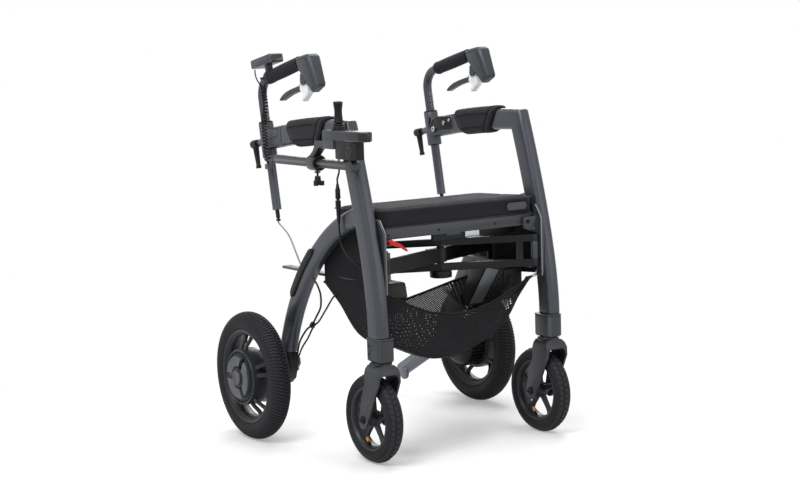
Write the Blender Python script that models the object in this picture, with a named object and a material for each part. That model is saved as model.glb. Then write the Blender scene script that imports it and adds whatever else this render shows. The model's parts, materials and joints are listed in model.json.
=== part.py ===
"""Rollator wheelchair with a powered drive, built as separate named pieces.

Run it with blender --background --python part.py, or from the text editor.
Units are metres, +Z is up, the user sits facing -Y, and the user's right hand is at -X.
Pieces that come in pairs are built for side = +1 (left, +X) and side = -1 (right, -X).
"""

import math

import bmesh
import bpy
from mathutils import Matrix, Vector

# Driving dimensions
GAP = 0.0003                # clearance between touching pieces
SIDE_X = 0.2425             # centre plane of each side frame
TUBE_WIDE = 0.034           # side frame tube across X
TUBE_DEEP = 0.051           # side frame tube in its own plane
TUBE_CORNER = 0.012
LEG_WIDE = 0.032            # rear leg tube across X
LEG_DEEP = 0.044
INNER_X = SIDE_X - TUBE_WIDE / 2
OUTER_X = SIDE_X + TUBE_WIDE / 2

ARM_CURVE = [(0.160, 0.722), (-0.045, 0.752), (-0.184, 0.751)]
FRONT_CURVE = [(-0.184, 0.7505), (-0.2845, 0.446), (-0.284, 0.2913)]
REAR_CURVE = [(-0.245, 0.563), (-0.060, 0.535), (0.100, 0.345), (0.135, 0.165)]
ARM_SPLIT = 0.17            # share of the arm curve where the casting meets the tube
REAR_END = 0.91             # share of the rear curve where the axle bracket starts

WHEEL_X = 0.332
WHEEL_Y = 0.145
WHEEL_R = 0.155
WHEEL_WIDE = 0.055
RIM_R = 0.1115
HUB_R = 0.066

STEER_X = 0.2385
STEER_Y = -0.283
CASTER_TRAIL = 0.035
CASTER_R = 0.102
CASTER_WIDE = 0.042
CASTER_RIM_R = 0.0715
STEM_R = 0.006
FORK_ROOM = 0.005           # between the caster's tyre and the fork's crown
FORK_HALF = 0.031           # half width of the fork over its blades
FORK_WALL = 0.005
CROWN_LOW = 2 * CASTER_R + FORK_ROOM
CROWN_HIGH = CROWN_LOW + 0.0227
COLLAR_LOW = CROWN_HIGH + 0.0063
COLLAR_HIGH = FRONT_CURVE[-1][1] - 0.0012

POST_FOOT = (0.1533, 0.549)
POST_CORNER = (0.2105, 0.857)
GRIP_WAY = (-0.972, 0.234)
POST_R = 0.011
LEVER_Z = 0.716             # height at which the clamp lever's lug leaves the post
LEVER_BACK = 0.036
CORD_LUG = 0.662            # top of the lug that holds the curly cord's foot
BEND_R = 0.045
GRIP_R = 0.0155

SEAT_FRONT = -0.275
SEAT_BACK = -0.050
SEAT_HALF = 0.2145
SEAT_CORNER = 0.012
SEAT_LOW = 0.532
SEAT_HIGH = 0.580
SEAT_PIVOT = (0.190, 0.515)
SEAT_AXLE_R = 0.004
SEAT_REST = 0.5067          # top of the ledge that carries the seat's right end
CATCH_PIVOT = (-0.2046, 0.500)
SEAT_FACE = -0.2685         # plane between the seat's front rail and the bracket before it
SEAT_RAIL_DEEP = 0.017

HINGE_INSET = 0.016         # fold hinge's axis from the side frame's inner face
HINGE_X = INNER_X - HINGE_INSET
HINGE_Y = -0.2745
BARREL_R = 0.009            # hinge barrels and the cross arms' eyes
HINGE_PIN_R = 0.004
PLATE_FRONT = -0.291
PLATE_BACK = -0.266
PLATE_THICK = 0.005
RAIL_IN = 0.2005            # slide rail's edge towards the middle
RAIL_BACK = 0.172
RAIL_LOW = 0.4027
RAIL_HIGH = 0.4087
ARM_ANGLE = math.radians(23.25)
ARM_HALF = HINGE_X / math.cos(ARM_ANGLE)    # half length of a cross arm
ARM_THICK = 0.014

ROD_X = -0.272
ROD_Z = 0.677
ROD_HALF = 0.0095
ROD_FRONT = -0.249
ROD_BACK = 0.090
STICK_Y = -0.203
STICK_X = -0.2785
HOUSING_BACK = -0.1590      # rear face of the joystick's housing
HOUSING_NOSE = -0.308       # centre of its round front

FINISHES = {
    "satin_frame": ("3B414D", 0.42, 0.55),
    "cast_metal": ("4A505C", 0.45, 0.60),
    "black_steel": ("1B1C20", 0.45, 0.50),
    "grey_steel": ("55585C", 0.40, 0.60),
    "light_metal": ("9A9DA0", 0.35, 0.75),
    "black_plastic": ("1D1E21", 0.50, 0.0),
    "grey_plastic": ("4B4D52", 0.45, 0.0),
    "olive_plastic": ("3A3B33", 0.55, 0.0),
    "red_plastic": ("C8262A", 0.40, 0.0),
    "rubber": ("18181A", 0.80, 0.0),
    "tyre_rubber": ("202022", 0.85, 0.0),
    "seat_fabric": ("26262B", 0.90, 0.0),
    "basket_mesh": ("1C1C20", 0.92, 0.0),
}


# Materials and placing

def linear(hex_text):
    """Turn an sRGB hex colour into Blender's linear values."""
    values = [int(hex_text[i:i + 2], 16) / 255 for i in (0, 2, 4)]
    return [v / 12.92 if v <= 0.04045 else ((v + 0.055) / 1.055) ** 2.4 for v in values]


def finish(name, node_name):
    """Make the Principled material of one piece."""
    hex_text, roughness, metallic = FINISHES[name]
    material = bpy.data.materials.new(f"{node_name}_{name}")
    material.use_nodes = True
    shader = material.node_tree.nodes["Principled BSDF"]
    shader.inputs["Base Color"].default_value = (*linear(hex_text), 1.0)
    shader.inputs["Roughness"].default_value = roughness
    shader.inputs["Metallic"].default_value = metallic
    material.diffuse_color = (*linear(hex_text), 1.0)
    return material


def place(name, solid, finish_name, origin=(0.0, 0.0, 0.0)):
    """Name a solid, give it its material and put its origin where it turns."""
    solid.name = name
    solid.data.name = name
    solid.data.materials.clear()
    solid.data.materials.append(finish(finish_name, name))
    solid.data.transform(Matrix.Translation(-Vector(origin)))
    solid.location = origin
    return solid


# Solids from points

def solid_from(points, faces):
    """Make a closed mesh object and turn its faces outwards."""
    mesh = bpy.data.meshes.new("solid")
    mesh.from_pydata([tuple(p) for p in points], [], faces)
    shape = bmesh.new()
    shape.from_mesh(mesh)
    bmesh.ops.recalc_face_normals(shape, faces=shape.faces)
    shape.to_mesh(mesh)
    shape.free()
    solid = bpy.data.objects.new("solid", mesh)
    bpy.context.collection.objects.link(solid)
    return solid


def band(first, second, count):
    """Quads between two rings whose points start at the given indices."""
    return [
        (first + i, first + (i + 1) % count, second + (i + 1) % count, second + i)
        for i in range(count)
    ]


def loft(rings, closed=False):
    """Skin a row of equal rings; closed joins the last ring to the first."""
    count = len(rings[0])
    points = [p for ring in rings for p in ring]
    faces = []
    for i in range(len(rings) - 1):
        faces += band(i * count, (i + 1) * count, count)
    last = (len(rings) - 1) * count
    if closed:
        faces += band(last, 0, count)
    else:
        faces.append(tuple(reversed(range(count))))
        faces.append(tuple(range(last, last + count)))
    return solid_from(points, faces)


def round_section(half_wide, half_deep, corner, steps=2):
    """A rectangle with round corners, as (across, along) points."""
    points = []
    for quarter in range(4):
        sign_a = (1, -1, -1, 1)[quarter]
        sign_b = (1, 1, -1, -1)[quarter]
        for i in range(steps + 1):
            turn = math.pi / 2 * (quarter + i / steps)
            points.append((
                sign_a * (half_wide - corner) + corner * math.cos(turn),
                sign_b * (half_deep - corner) + corner * math.sin(turn),
            ))
    return points


def circle(radius, sides, start=0.0):
    """A regular polygon with its corners on the radius."""
    turns = [start + 2 * math.pi * i / sides for i in range(sides)]
    return [(radius * math.cos(t), radius * math.sin(t)) for t in turns]


def round_outside(radius, sides):
    """The corner radius of a polygon whose flats lie on the given radius."""
    return radius / math.cos(math.pi / sides)


def slab(outline, axis, low, high, soften=0.0):
    """Push an outline along an axis; soften insets the two ends for a rounded edge."""
    low, high = min(low, high), max(low, high)
    steps = [(low, 0.0), (high, 0.0)]
    if soften:
        steps = [(low, soften), (low + soften, 0.0), (high - soften, 0.0), (high, soften)]
    rings = [
        [along_axis(axis, level, p) for p in shrink(outline, inset)] for level, inset in steps
    ]
    return loft(rings)


def along_axis(axis, level, point):
    """A point of a plane square to an axis, the plane's two axes in X, Y, Z order."""
    a, b = point
    return {"x": (level, a, b), "y": (a, level, b), "z": (a, b, level)}[axis]


def shrink(outline, distance):
    """Move an outline's corners inwards by a distance."""
    if not distance:
        return outline
    count = len(outline)
    area = sum(
        outline[i][0] * outline[(i + 1) % count][1] - outline[(i + 1) % count][0] * outline[i][1]
        for i in range(count)
    )
    turn = 1 if area > 0 else -1
    moved = []
    for i in range(count):
        here = Vector(outline[i])
        before = (here - Vector(outline[i - 1])).normalized()
        after = (Vector(outline[(i + 1) % count]) - here).normalized()
        inward = Vector((-before.y - after.y, before.x + after.x)) * turn
        inward.normalize()
        share = max(0.5, abs(inward.dot(Vector((-after.y, after.x)) * turn)))
        moved.append(tuple(here + inward * distance / share))
    return moved


def box(low, high, soften=0.0):
    """A box between two corners."""
    outline = [(low[0], low[1]), (high[0], low[1]), (high[0], high[1]), (low[0], high[1])]
    return slab(outline, "z", low[2], high[2], soften)


def frame_of(way):
    """Two directions square to a way."""
    way = Vector(way).normalized()
    helper = Vector((0, 0, 1)) if abs(way.z) < 0.9 else Vector((1, 0, 0))
    across = way.cross(helper).normalized()
    return across, way.cross(across).normalized()


def lathe(profile, centre, way, sides=16, closed=False, start=0.0):
    """Turn (along, radius) points about an axis; closed makes a ring with a bore."""
    way = Vector(way).normalized()
    across, up = frame_of(way)
    centre = Vector(centre)
    rings = []
    for along, radius in profile:
        rings.append([
            centre + way * along + across * a + up * b for a, b in circle(radius, sides, start)
        ])
    return loft(rings, closed)


def rod(start, end, radius, sides=12, end_radius=None):
    """A round bar between two points."""
    length = (Vector(end) - Vector(start)).length
    way = Vector(end) - Vector(start)
    far = radius if end_radius is None else end_radius
    return lathe([(0.0, radius), (length, far)], start, way, sides)


def beam(start, end, wide, thick, up):
    """A flat bar between two points, its thickness along up."""
    start, end, up = Vector(start), Vector(end), Vector(up)
    side = (end - start).cross(up).normalized() * wide / 2
    lift = side.cross(end - start).normalized() * thick / 2
    rings = [[p - side - lift, p + side - lift, p + side + lift, p - side + lift]
             for p in (start, end)]
    return loft(rings)


def combine(base, tools, operation):
    """Join or cut solids with exact Booleans and keep the plain result."""
    for tool in tools:
        step = base.modifiers.new("step", "BOOLEAN")
        step.operation = operation
        step.solver = "EXACT"
        step.object = tool
        graph = bpy.context.evaluated_depsgraph_get()
        merged = bpy.data.meshes.new_from_object(base.evaluated_get(graph))
        base.modifiers.clear()
        base.data = merged
        bpy.data.objects.remove(tool)
    return base


def fuse(base, *tools):
    return combine(base, tools, "UNION")


def carve(base, *tools):
    return combine(base, tools, "DIFFERENCE")


# Paths in a side plane, as (y, z)

def curve_at(controls, share):
    """A point of a Bezier curve of any degree."""
    row = [Vector(c) for c in controls]
    while len(row) > 1:
        row = [row[i].lerp(row[i + 1], share) for i in range(len(row) - 1)]
    return row[0]


def curve_way(controls, share):
    """The unit direction of a Bezier curve."""
    step = 0.001
    return (curve_at(controls, share + step) - curve_at(controls, share - step)).normalized()


def stretch(controls, start, end, steps):
    """Points along part of a Bezier curve."""
    return [curve_at(controls, start + (end - start) * i / steps) for i in range(steps + 1)]


def bend(before, corner, after, radius, steps):
    """Arc points that round a corner between two directions."""
    corner = Vector(corner)
    back = (Vector(before) - corner).normalized()
    ahead = (Vector(after) - corner).normalized()
    half = back.angle(ahead) / 2
    reach = radius / math.tan(half)
    middle = corner + (back + ahead).normalized() * radius / math.sin(half)
    first = corner + back * reach - middle
    last = corner + ahead * reach - middle
    points = []
    for i in range(steps + 1):
        points.append(middle + first.lerp(last, i / steps).normalized() * radius)
    return points


def sweep(path, section, x, leans=None):
    """Carry a section along a side's path, mitred at each point; leans slant single rings."""
    rings = []
    leans = leans or [0.0] * len(path)
    path = [Vector(p) for p in path]
    for i, here in enumerate(path):
        before = (here - path[i - 1]).normalized() if i else None
        after = (path[i + 1] - here).normalized() if i + 1 < len(path) else None
        way = ((before or after) + (after or before)).normalized()
        wider = 1 / max(0.5, way.dot(after or before))
        normal = Vector((-way.y, way.x)) * wider
        slant = normal + way * leans[i]
        rings.append([(x + a, here.x + slant.x * b, here.y + slant.y * b) for a, b in section])
    return rings


def swept(path, section, x):
    return loft(sweep(path, section, x))


def sleeve(path, outer, inner, x):
    """A swept tube with its bore open."""
    outside = sweep(path, outer, x)
    inside = sweep(path, inner, x)
    return loft(outside + inside[::-1], closed=True)


def cord(points, radii, resolution=2):
    """A round cord through points in space, each with its own radius."""
    data = bpy.data.curves.new("cord", "CURVE")
    data.dimensions = "3D"
    data.bevel_depth = 1.0
    data.bevel_resolution = resolution
    data.use_fill_caps = True
    data.resolution_u = 1
    line = data.splines.new("POLY")
    line.points.add(len(points) - 1)
    for spot, point, radius in zip(line.points, points, radii):
        spot.co = (*point, 1.0)
        spot.radius = radius
    solid = bpy.data.objects.new("cord", data)
    bpy.context.collection.objects.link(solid)
    return solid


def as_mesh(solid):
    """A curve's solid as a mesh object, welded where the caps meet the sides."""
    graph = bpy.context.evaluated_depsgraph_get()
    mesh = bpy.data.meshes.new_from_object(solid.evaluated_get(graph))
    bpy.data.objects.remove(solid)
    shape = bmesh.new()
    shape.from_mesh(mesh)
    bmesh.ops.remove_doubles(shape, verts=shape.verts, dist=0.00001)
    bmesh.ops.recalc_face_normals(shape, faces=shape.faces)
    shape.to_mesh(mesh)
    shape.free()
    result = bpy.data.objects.new("cord", mesh)
    bpy.context.collection.objects.link(result)
    return result


def smooth(points, steps):
    """Catmull-Rom points through hand-placed points."""
    points = [Vector(p) for p in points]
    padded = [points[0] * 2 - points[1], *points, points[-1] * 2 - points[-2]]
    found = []
    for i in range(1, len(padded) - 2):
        a, b, c, d = padded[i - 1:i + 3]
        for k in range(steps):
            t = k / steps
            found.append(0.5 * (2 * b + (c - a) * t + (2 * a - 5 * b + 4 * c - d) * t * t
                                + (3 * b - a - 3 * c + d) * t ** 3))
    found.append(points[-1])
    return found


def side_name(side):
    return "left" if side > 0 else "right"


# Side frames

def front_path():
    """Armrest from the casting forwards to the mitred corner, and down the front leg."""
    return stretch(ARM_CURVE, ARM_SPLIT, 0.90, 5) + stretch(FRONT_CURVE, 0.0, 1.0, 9)


def front_leg(side):
    section = round_section(TUBE_WIDE / 2, TUBE_DEEP / 2, TUBE_CORNER)
    tube = swept(front_path(), section, side * SIDE_X)
    return place(f"front_leg_{side_name(side)}", tube, "satin_frame")


def rear_leg(side):
    """Curved leg, coped to the front leg, with the raised cover on its upper part."""
    x = side * SIDE_X
    section = round_section(LEG_WIDE / 2, LEG_DEEP / 2, 0.011)
    cover = round_section(LEG_WIDE / 2 + 0.0022, LEG_DEEP / 2 + 0.0022, 0.011)
    tube = swept(stretch(REAR_CURVE, 0.0, REAR_END, 9), section, x)
    sleeve_cover = swept(stretch(REAR_CURVE, 0.36, 0.68, 4), cover, x)
    wider = round_section(TUBE_WIDE / 2 + 0.004, TUBE_DEEP / 2 + GAP, TUBE_CORNER)
    leg = carve(fuse(tube, sleeve_cover), swept(front_path(), wider, x))
    return place(f"rear_leg_{side_name(side)}", leg, "satin_frame")


def arm_pad(side):
    """Padded sleeve wrapped round the armrest, with rounded and slanted ends."""
    x = side * SIDE_X
    path = stretch(ARM_CURVE, 0.262, 0.770, 5)
    leans = [0.55, 0.55, 0.30, -0.30, -0.55, -0.55]
    thick = [(0.0045, 0.0055), (0.0062, 0.0095), (0.0062, 0.0100), (0.0062, 0.0100),
             (0.0062, 0.0095), (0.0045, 0.0055)]
    outside = []
    for i, (wide, deep) in enumerate(thick):
        section = round_section(TUBE_WIDE / 2 + wide, TUBE_DEEP / 2 + deep, 0.017)
        outside.append(sweep(path, section, x, leans)[i])
    bore = round_section(TUBE_WIDE / 2 + GAP, TUBE_DEEP / 2 + GAP, TUBE_CORNER)
    inside = sweep(path, bore, x, leans)
    return place(f"arm_pad_{side_name(side)}", loft(outside + inside[::-1], closed=True),
                 "seat_fabric")


def post_point(z):
    """The handle post's axis at a height, as (y, z)."""
    slope = (POST_CORNER[0] - POST_FOOT[0]) / (POST_CORNER[1] - POST_FOOT[1])
    return POST_FOOT[0] + (z - POST_FOOT[1]) * slope, z


def post_way():
    way = Vector(POST_CORNER) - Vector(POST_FOOT)
    return Vector((0.0, way.x, way.y)).normalized()


def post_spot(side, z, out=0.0, back=0.0):
    """A point beside the post: out away from the middle, back to the rear."""
    y, z = post_point(z)
    way = post_way()
    return Vector((side * (SIDE_X + out), y + back * way.z, z - back * way.y))


def post_clamp(side):
    """Casting that joins the armrest to the handle post, split and closed by the lever."""
    x = side * SIDE_X
    section = round_section(TUBE_WIDE / 2, TUBE_DEEP / 2, TUBE_CORNER)
    arm = swept(stretch(ARM_CURVE, ARM_SPLIT - 0.0020, -0.055, 3), section, x)
    ring = rod(post_spot(side, 0.675), post_spot(side, 0.757), 0.018, 16)
    lug = rod(post_spot(side, LEVER_Z, back=0.012), post_spot(side, LEVER_Z, back=LEVER_BACK),
              0.009, 12)
    parts = [ring, lug]
    if side < 0:
        parts.append(box((-0.2735, 0.137, 0.650), (-0.2590, 0.150, CORD_LUG)))
        parts.append(box((-0.2610, 0.138, 0.655), (-0.2570, 0.149, 0.6720)))
        parts.append(box((ROD_X + ROD_HALF + GAP, ROD_BACK - 0.0215, ROD_Z - 0.008),
                         (-0.246, 0.172, ROD_Z + 0.007)))
    body = fuse(arm, *parts)
    bore = rod(post_spot(side, 0.60), post_spot(side, 0.79), round_outside(0.0148, 16), 16)
    pocket = [(0.180, 0.7440), (0.112, 0.7480), (0.106, 0.7420), (0.106, 0.7340),
              (0.112, 0.7290), (0.172, 0.7150), (0.179, 0.7180)]
    cuts = [bore]
    for face in (-1, 1):
        deep = 0.0022 if face == side else 0.006
        level = x + face * TUBE_WIDE / 2
        cuts.append(slab(pocket, "x", level - face * deep, level + face * 0.004))
    return place(f"post_clamp_{side_name(side)}", carve(body, *cuts), "cast_metal")


def leg_collar(side):
    """Cast foot of the front leg that holds the caster's stem."""
    x = side * STEER_X
    outline = [(x + a, STEER_Y + b) for a, b in round_section(0.021, 0.030, 0.010)]
    body = slab(outline, "z", COLLAR_LOW, COLLAR_HIGH, 0.003)
    holes = []
    for share in (0.31, 0.67):
        z = COLLAR_LOW + (COLLAR_HIGH - COLLAR_LOW) * share
        holes.append(rod((x + side * 0.0195, STEER_Y + 0.016, z),
                         (x + side * 0.0230, STEER_Y + 0.016, z), 0.0034, 8))
    bore = rod((x, STEER_Y, COLLAR_LOW - 0.008), (x, STEER_Y, COLLAR_HIGH - 0.006),
               round_outside(STEM_R + GAP / 3, 12), 12)
    return place(f"leg_collar_{side_name(side)}", carve(body, *holes, bore), "cast_metal")


def fold_barrel(side, low, high):
    return rod((side * HINGE_X, HINGE_Y, low), (side * HINGE_X, HINGE_Y, high), BARREL_R, 14)


def side_plate(side):
    """Plate on the leg's inner face with the fold hinge, the seat's bearing and the slide rail."""
    inner = side * (INNER_X - GAP)
    foot = 0.380 if side > 0 else 0.377
    outline = [(PLATE_FRONT, 0.5200), (PLATE_FRONT, foot + 0.014), (PLATE_FRONT + 0.006, foot + 0.002),
               (PLATE_FRONT + 0.013, foot), (PLATE_BACK - 0.004, foot + 0.004),
               (PLATE_BACK, foot + 0.012), (PLATE_BACK, 0.5000), (PLATE_BACK + 0.008, 0.5300),
               (PLATE_BACK + 0.010, 0.5540), (PLATE_BACK - 0.002, 0.5540),
               (PLATE_FRONT + 0.006, 0.5320)]
    plate = slab(outline, "x", inner - side * PLATE_THICK, inner)
    rail = box((min(side * RAIL_IN, side * 0.2238), PLATE_BACK + 0.004, RAIL_LOW),
               (max(side * RAIL_IN, side * 0.2238), RAIL_BACK, RAIL_HIGH))
    web = box((min(side * 0.2202, side * 0.2250), PLATE_FRONT + 0.016, RAIL_LOW),
              (max(side * 0.2202, side * 0.2250), PLATE_BACK + 0.026, RAIL_HIGH))
    pin = rod((side * HINGE_X, HINGE_Y, RAIL_HIGH + 0.0005), (side * HINGE_X, HINGE_Y, 0.4838),
              HINGE_PIN_R, 12)
    if side > 0:
        knuckles = [fold_barrel(side, 0.4263, 0.4677)]
        spans = [(0.4300, 0.4640)]
        extra = seat_bracket()
    else:
        knuckles = [fold_barrel(side, 0.4140, 0.4302), fold_barrel(side, 0.4638, 0.4790)]
        spans = [(0.4150, 0.4290), (0.4650, 0.4780)]
        extra = [box((-0.2215, SEAT_FACE, 0.4920), (-0.1930, SEAT_FACE + SEAT_RAIL_DEEP, SEAT_REST))]
    ties = []
    for low, high in spans:
        ties.append(box((min(side * HINGE_X, inner - side * 0.001), HINGE_Y - 0.004, low),
                        (max(side * HINGE_X, inner - side * 0.001), HINGE_Y + 0.004, high)))
    body = fuse(plate, web, rail, *knuckles, pin, *ties, *extra)
    if side < 0:
        x, z = CATCH_PIVOT
        bore = rod((x, SEAT_FACE - 0.003, z), (x, SEAT_FACE + 0.009, z), round_outside(0.0028, 10), 10)
        body = carve(body, bore)
    return place(f"side_plate_{side_name(side)}", body, "grey_steel")


def seat_bracket():
    """Bracket before the seat's front rail, the axle that the seat turns on, and a bolt."""
    x, z = SEAT_PIVOT
    outline = [(x + 0.0315, z - 0.0290), (x - 0.008, z - 0.0165), (x - 0.011, z - 0.009),
               (x - 0.011, z + 0.0110), (x + 0.0315, z + 0.0110)]
    bracket = slab(outline, "y", SEAT_FACE - 0.006, SEAT_FACE)
    axle = rod((x, SEAT_FACE - 0.002, z), (x, SEAT_FACE + SEAT_RAIL_DEEP + 0.002, z),
               SEAT_AXLE_R, 12)
    bolt = rod((x + 0.017, SEAT_FACE - 0.0095, z - 0.018), (x + 0.017, SEAT_FACE - 0.003, z - 0.018),
               0.0045, 6)
    return [bracket, axle, bolt]


def axle_bracket(side):
    """Drop-out plate under the rear leg that carries the wheel's axle."""
    end, before = stretch(REAR_CURVE, 0.0, REAR_END, 9)[:-3:-1]
    way = (end - before).normalized()
    square = Vector((-way.y, way.x)) * LEG_DEEP / 2
    top = end + way * GAP
    outline = [tuple(top - square), tuple(top + square), (0.160, 0.190), (0.1695, 0.160),
               (0.1665, 0.136), (0.152, 0.1255), (0.128, 0.1265), (0.110, 0.140),
               (0.0985, 0.170)]
    body = slab(outline, "x", side * 0.2295, side * 0.2555, 0.003)
    bore = rod((side * 0.225, WHEEL_Y, WHEEL_R), (side * 0.262, WHEEL_Y, WHEEL_R),
               round_outside(0.0061, 12), 12)
    return place(f"axle_bracket_{side_name(side)}", carve(body, bore), "black_steel")


def tipping_bar(side):
    """Bar that runs down behind the axle, pushed with the foot to lift the casters."""
    start, end, half = Vector((0.128, 0.178)), Vector((0.333, 0.067)), 0.017
    way = (end - start).normalized()
    turn = math.atan2(way.y, way.x)
    outline = []
    for i in range(7):
        angle = turn - math.pi / 2 + math.pi * i / 6
        outline.append(tuple(end + Vector((math.cos(angle), math.sin(angle))) * half))
    for i in range(5):
        angle = turn + math.pi / 2 + math.pi * i / 4
        outline.append(tuple(start + Vector((math.cos(angle), math.sin(angle))) * half))
    plate = slab(outline, "x", side * 0.2165, side * 0.2215)
    below = Vector((way.y, -way.x)) * half
    under = [start + way * 0.012 + below * 0.9, end + below * 0.9,
             end + below * 1.22, start + way * 0.012 + below * 1.22]
    strip = slab([tuple(p) for p in under], "x", side * 0.2140, side * 0.2240)
    disc = rod((side * 0.2100, 0.308, 0.062), (side * 0.2175, 0.308, 0.062), 0.0165, 16)
    boss = rod((side * 0.2190, *start), (side * 0.2292, *start), 0.009, 12)
    bolt = rod((side * 0.2190, *end), (side * 0.2255, *end), 0.006, 6)
    body = fuse(plate, strip, disc, boss, bolt)
    return place(f"tipping_bar_{side_name(side)}", body, "light_metal")


# Wheels

def fork_arch(x):
    """Arched crown and wide tapered blades: the front view's arch cut to the side view."""
    axle_y, axle_z = STEER_Y + CASTER_TRAIL, CASTER_R
    out, inside, top = FORK_HALF, FORK_HALF - FORK_WALL, CROWN_HIGH
    arch = [(out, 0.0), (out, top - 0.020), (out - 0.003, top - 0.010), (out - 0.010, top - 0.002),
            (out - 0.018, top)]
    arch += [(-a, z) for a, z in reversed(arch)]
    arch += [(-inside, 0.0), (-inside, CROWN_LOW - 0.014), (-inside + 0.003, CROWN_LOW - 0.005),
             (-inside + 0.009, CROWN_LOW)]
    arch += [(-a, z) for a, z in reversed(arch[-4:])]
    body = slab([(x + a, z) for a, z in arch], "y", axle_y - 0.10, axle_y + 0.05)
    side_view = [(STEER_Y - 0.0240, top + 0.001), (STEER_Y - 0.0320, top - 0.020),
                 (STEER_Y - 0.0330, axle_z + 0.090), (STEER_Y - 0.0140, axle_z + 0.050)]
    end = 0.0165
    for i in range(6):
        turn = math.radians(210 + 150 * i / 5)
        side_view.append((axle_y + end * math.cos(turn), axle_z - 0.005 + end * math.sin(turn)))
    side_view += [(STEER_Y + 0.0410, axle_z + 0.045), (STEER_Y + 0.0240, axle_z + 0.085),
                  (STEER_Y + 0.0230, top + 0.001)]
    return combine(body, [slab(side_view, "x", x - 0.05, x + 0.05)], "INTERSECT")


def caster(side):
    """Swivelling fork, spoked rim and tyre of one front wheel."""
    x, name = side * STEER_X, side_name(side)
    axle_y = STEER_Y + CASTER_TRAIL
    washer = lathe([(CROWN_HIGH - 0.0017, 0.024), (CROWN_HIGH + 0.0013, 0.0265),
                    (CROWN_HIGH + 0.0033, 0.0265), (CROWN_HIGH + 0.0035, 0.021),
                    (COLLAR_LOW - GAP, 0.021)], (x, STEER_Y, 0), (0, 0, 1), 16)
    stem = rod((x, STEER_Y, CROWN_HIGH), (x, STEER_Y, COLLAR_HIGH - 0.007), STEM_R, 10)
    axle = rod((x - 0.0285, axle_y, CASTER_R), (x + 0.0285, axle_y, CASTER_R), 0.004, 10)
    heads = [rod((x + s * 0.030, axle_y, CASTER_R), (x + s * 0.0355, axle_y, CASTER_R), 0.0075, 6)
             for s in (-1, 1)]
    neck = rod((x, STEER_Y, CROWN_LOW + 0.002), (x, STEER_Y, CROWN_HIGH), 0.0245, 16)
    fork = fuse(fork_arch(x), neck, washer, stem, axle, *heads)
    place(f"caster_fork_{name}", fork, "black_plastic", (x, STEER_Y, CASTER_R))
    centre = (x, axle_y, CASTER_R)
    half = CASTER_WIDE / 2
    ring = lathe([(-0.015, 0.0645), (0.015, 0.0645), (0.015, CASTER_RIM_R), (-0.015, CASTER_RIM_R)],
                 centre, (1, 0, 0), 20, closed=True)
    hub = rod((x - 0.0255, axle_y, CASTER_R), (x + 0.0255, axle_y, CASTER_R), 0.013, 12)
    spokes = []
    for i in range(5):
        turn = math.radians(90 + 72 * i)
        out = Vector((0, math.cos(turn), math.sin(turn)))
        spokes.append(beam(Vector(centre) + out * 0.010, Vector(centre) + out * 0.066,
                           0.016, 0.008, (1, 0, 0)))
    wheel = fuse(ring, *spokes, hub)
    bore = rod((x - 0.03, axle_y, CASTER_R), (x + 0.03, axle_y, CASTER_R),
               round_outside(0.0041, 12), 12)
    place(f"caster_rim_{name}", carve(wheel, bore), "grey_plastic", centre)
    bead = round_outside(CASTER_RIM_R + GAP, 24)
    profile = [(-0.015, bead), (-half, 0.082), (-0.0155, 0.0965), (-0.005, CASTER_R),
               (0.005, CASTER_R), (0.0155, 0.0965), (half, 0.082), (0.015, bead)]
    tyre = lathe(profile, centre, (1, 0, 0), 24, closed=True)
    place(f"caster_tyre_{name}", tyre, "tyre_rubber", centre)


def drive_wheel(side):
    """Rim with five paired spokes, tyre, and the hub motor inside the hub ring."""
    x, name = side * WHEEL_X, side_name(side)
    centre = Vector((x, WHEEL_Y, WHEEL_R))
    out = (side, 0, 0)
    rim_profile = [(-0.020, RIM_R), (-0.020, 0.104), (-0.012, 0.098), (0.012, 0.098),
                   (0.020, 0.104), (0.020, RIM_R)]
    rim = lathe(rim_profile, centre, out, 28, closed=True)
    ring = lathe([(-0.006, 0.0610), (0.036, 0.0610), (0.036, HUB_R), (-0.006, HUB_R + 0.002)],
                 centre, out, 20, closed=True)
    spokes = []
    for i in range(5):
        turn = math.radians(90 + 72 * i)
        away = Vector((0, math.cos(turn), math.sin(turn)))
        beside = Vector((0, -math.sin(turn), math.cos(turn)))
        for k in (-1, 1):
            near = centre + away * 0.0635 + beside * k * 0.010 + Vector(out) * 0.022
            far = centre + away * 0.1000 + beside * k * 0.010 + Vector(out) * 0.006
            spokes.append(beam(near, far, 0.009, 0.008, out))
    place(f"drive_rim_{name}", fuse(rim, ring, *spokes), "grey_plastic", tuple(centre))
    half = WHEEL_WIDE / 2
    bead = round_outside(RIM_R + GAP, 32)
    profile = [(-0.020, bead), (-half, 0.128), (-half * 0.80, 0.1475), (-0.009, WHEEL_R),
               (0.009, WHEEL_R), (half * 0.80, 0.1475), (half, 0.128), (0.020, bead)]
    tyre = lathe(profile, centre, out, 32, closed=True)
    place(f"drive_tyre_{name}", tyre, "tyre_rubber", tuple(centre))
    drum = lathe([(-0.1005, 0.006), (-0.0762, 0.006), (-0.0762, 0.016), (-0.068, 0.016),
                  (-0.066, 0.045), (-0.052, 0.055), (-0.010, 0.055), (-0.004, 0.0605),
                  (0.034, 0.0605), (0.044, 0.050)], centre, out, 20)
    cap = lathe([(0.040, 0.017), (0.0465, 0.017), (0.048, 0.013)], centre, out, 14)
    grooves = []
    for i in range(3):
        turn = math.radians(90 + 120 * i)
        away = Vector((0, math.cos(turn), math.sin(turn)))
        start = centre + away * 0.019 + Vector(out) * 0.0445
        end = centre + away * 0.045 + Vector(out) * 0.0445
        grooves.append(beam(start, end, 0.006, 0.005, out))
    place(f"hub_motor_{name}", fuse(carve(drum, *grooves), cap), "black_plastic", tuple(centre))


# Handles

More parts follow.
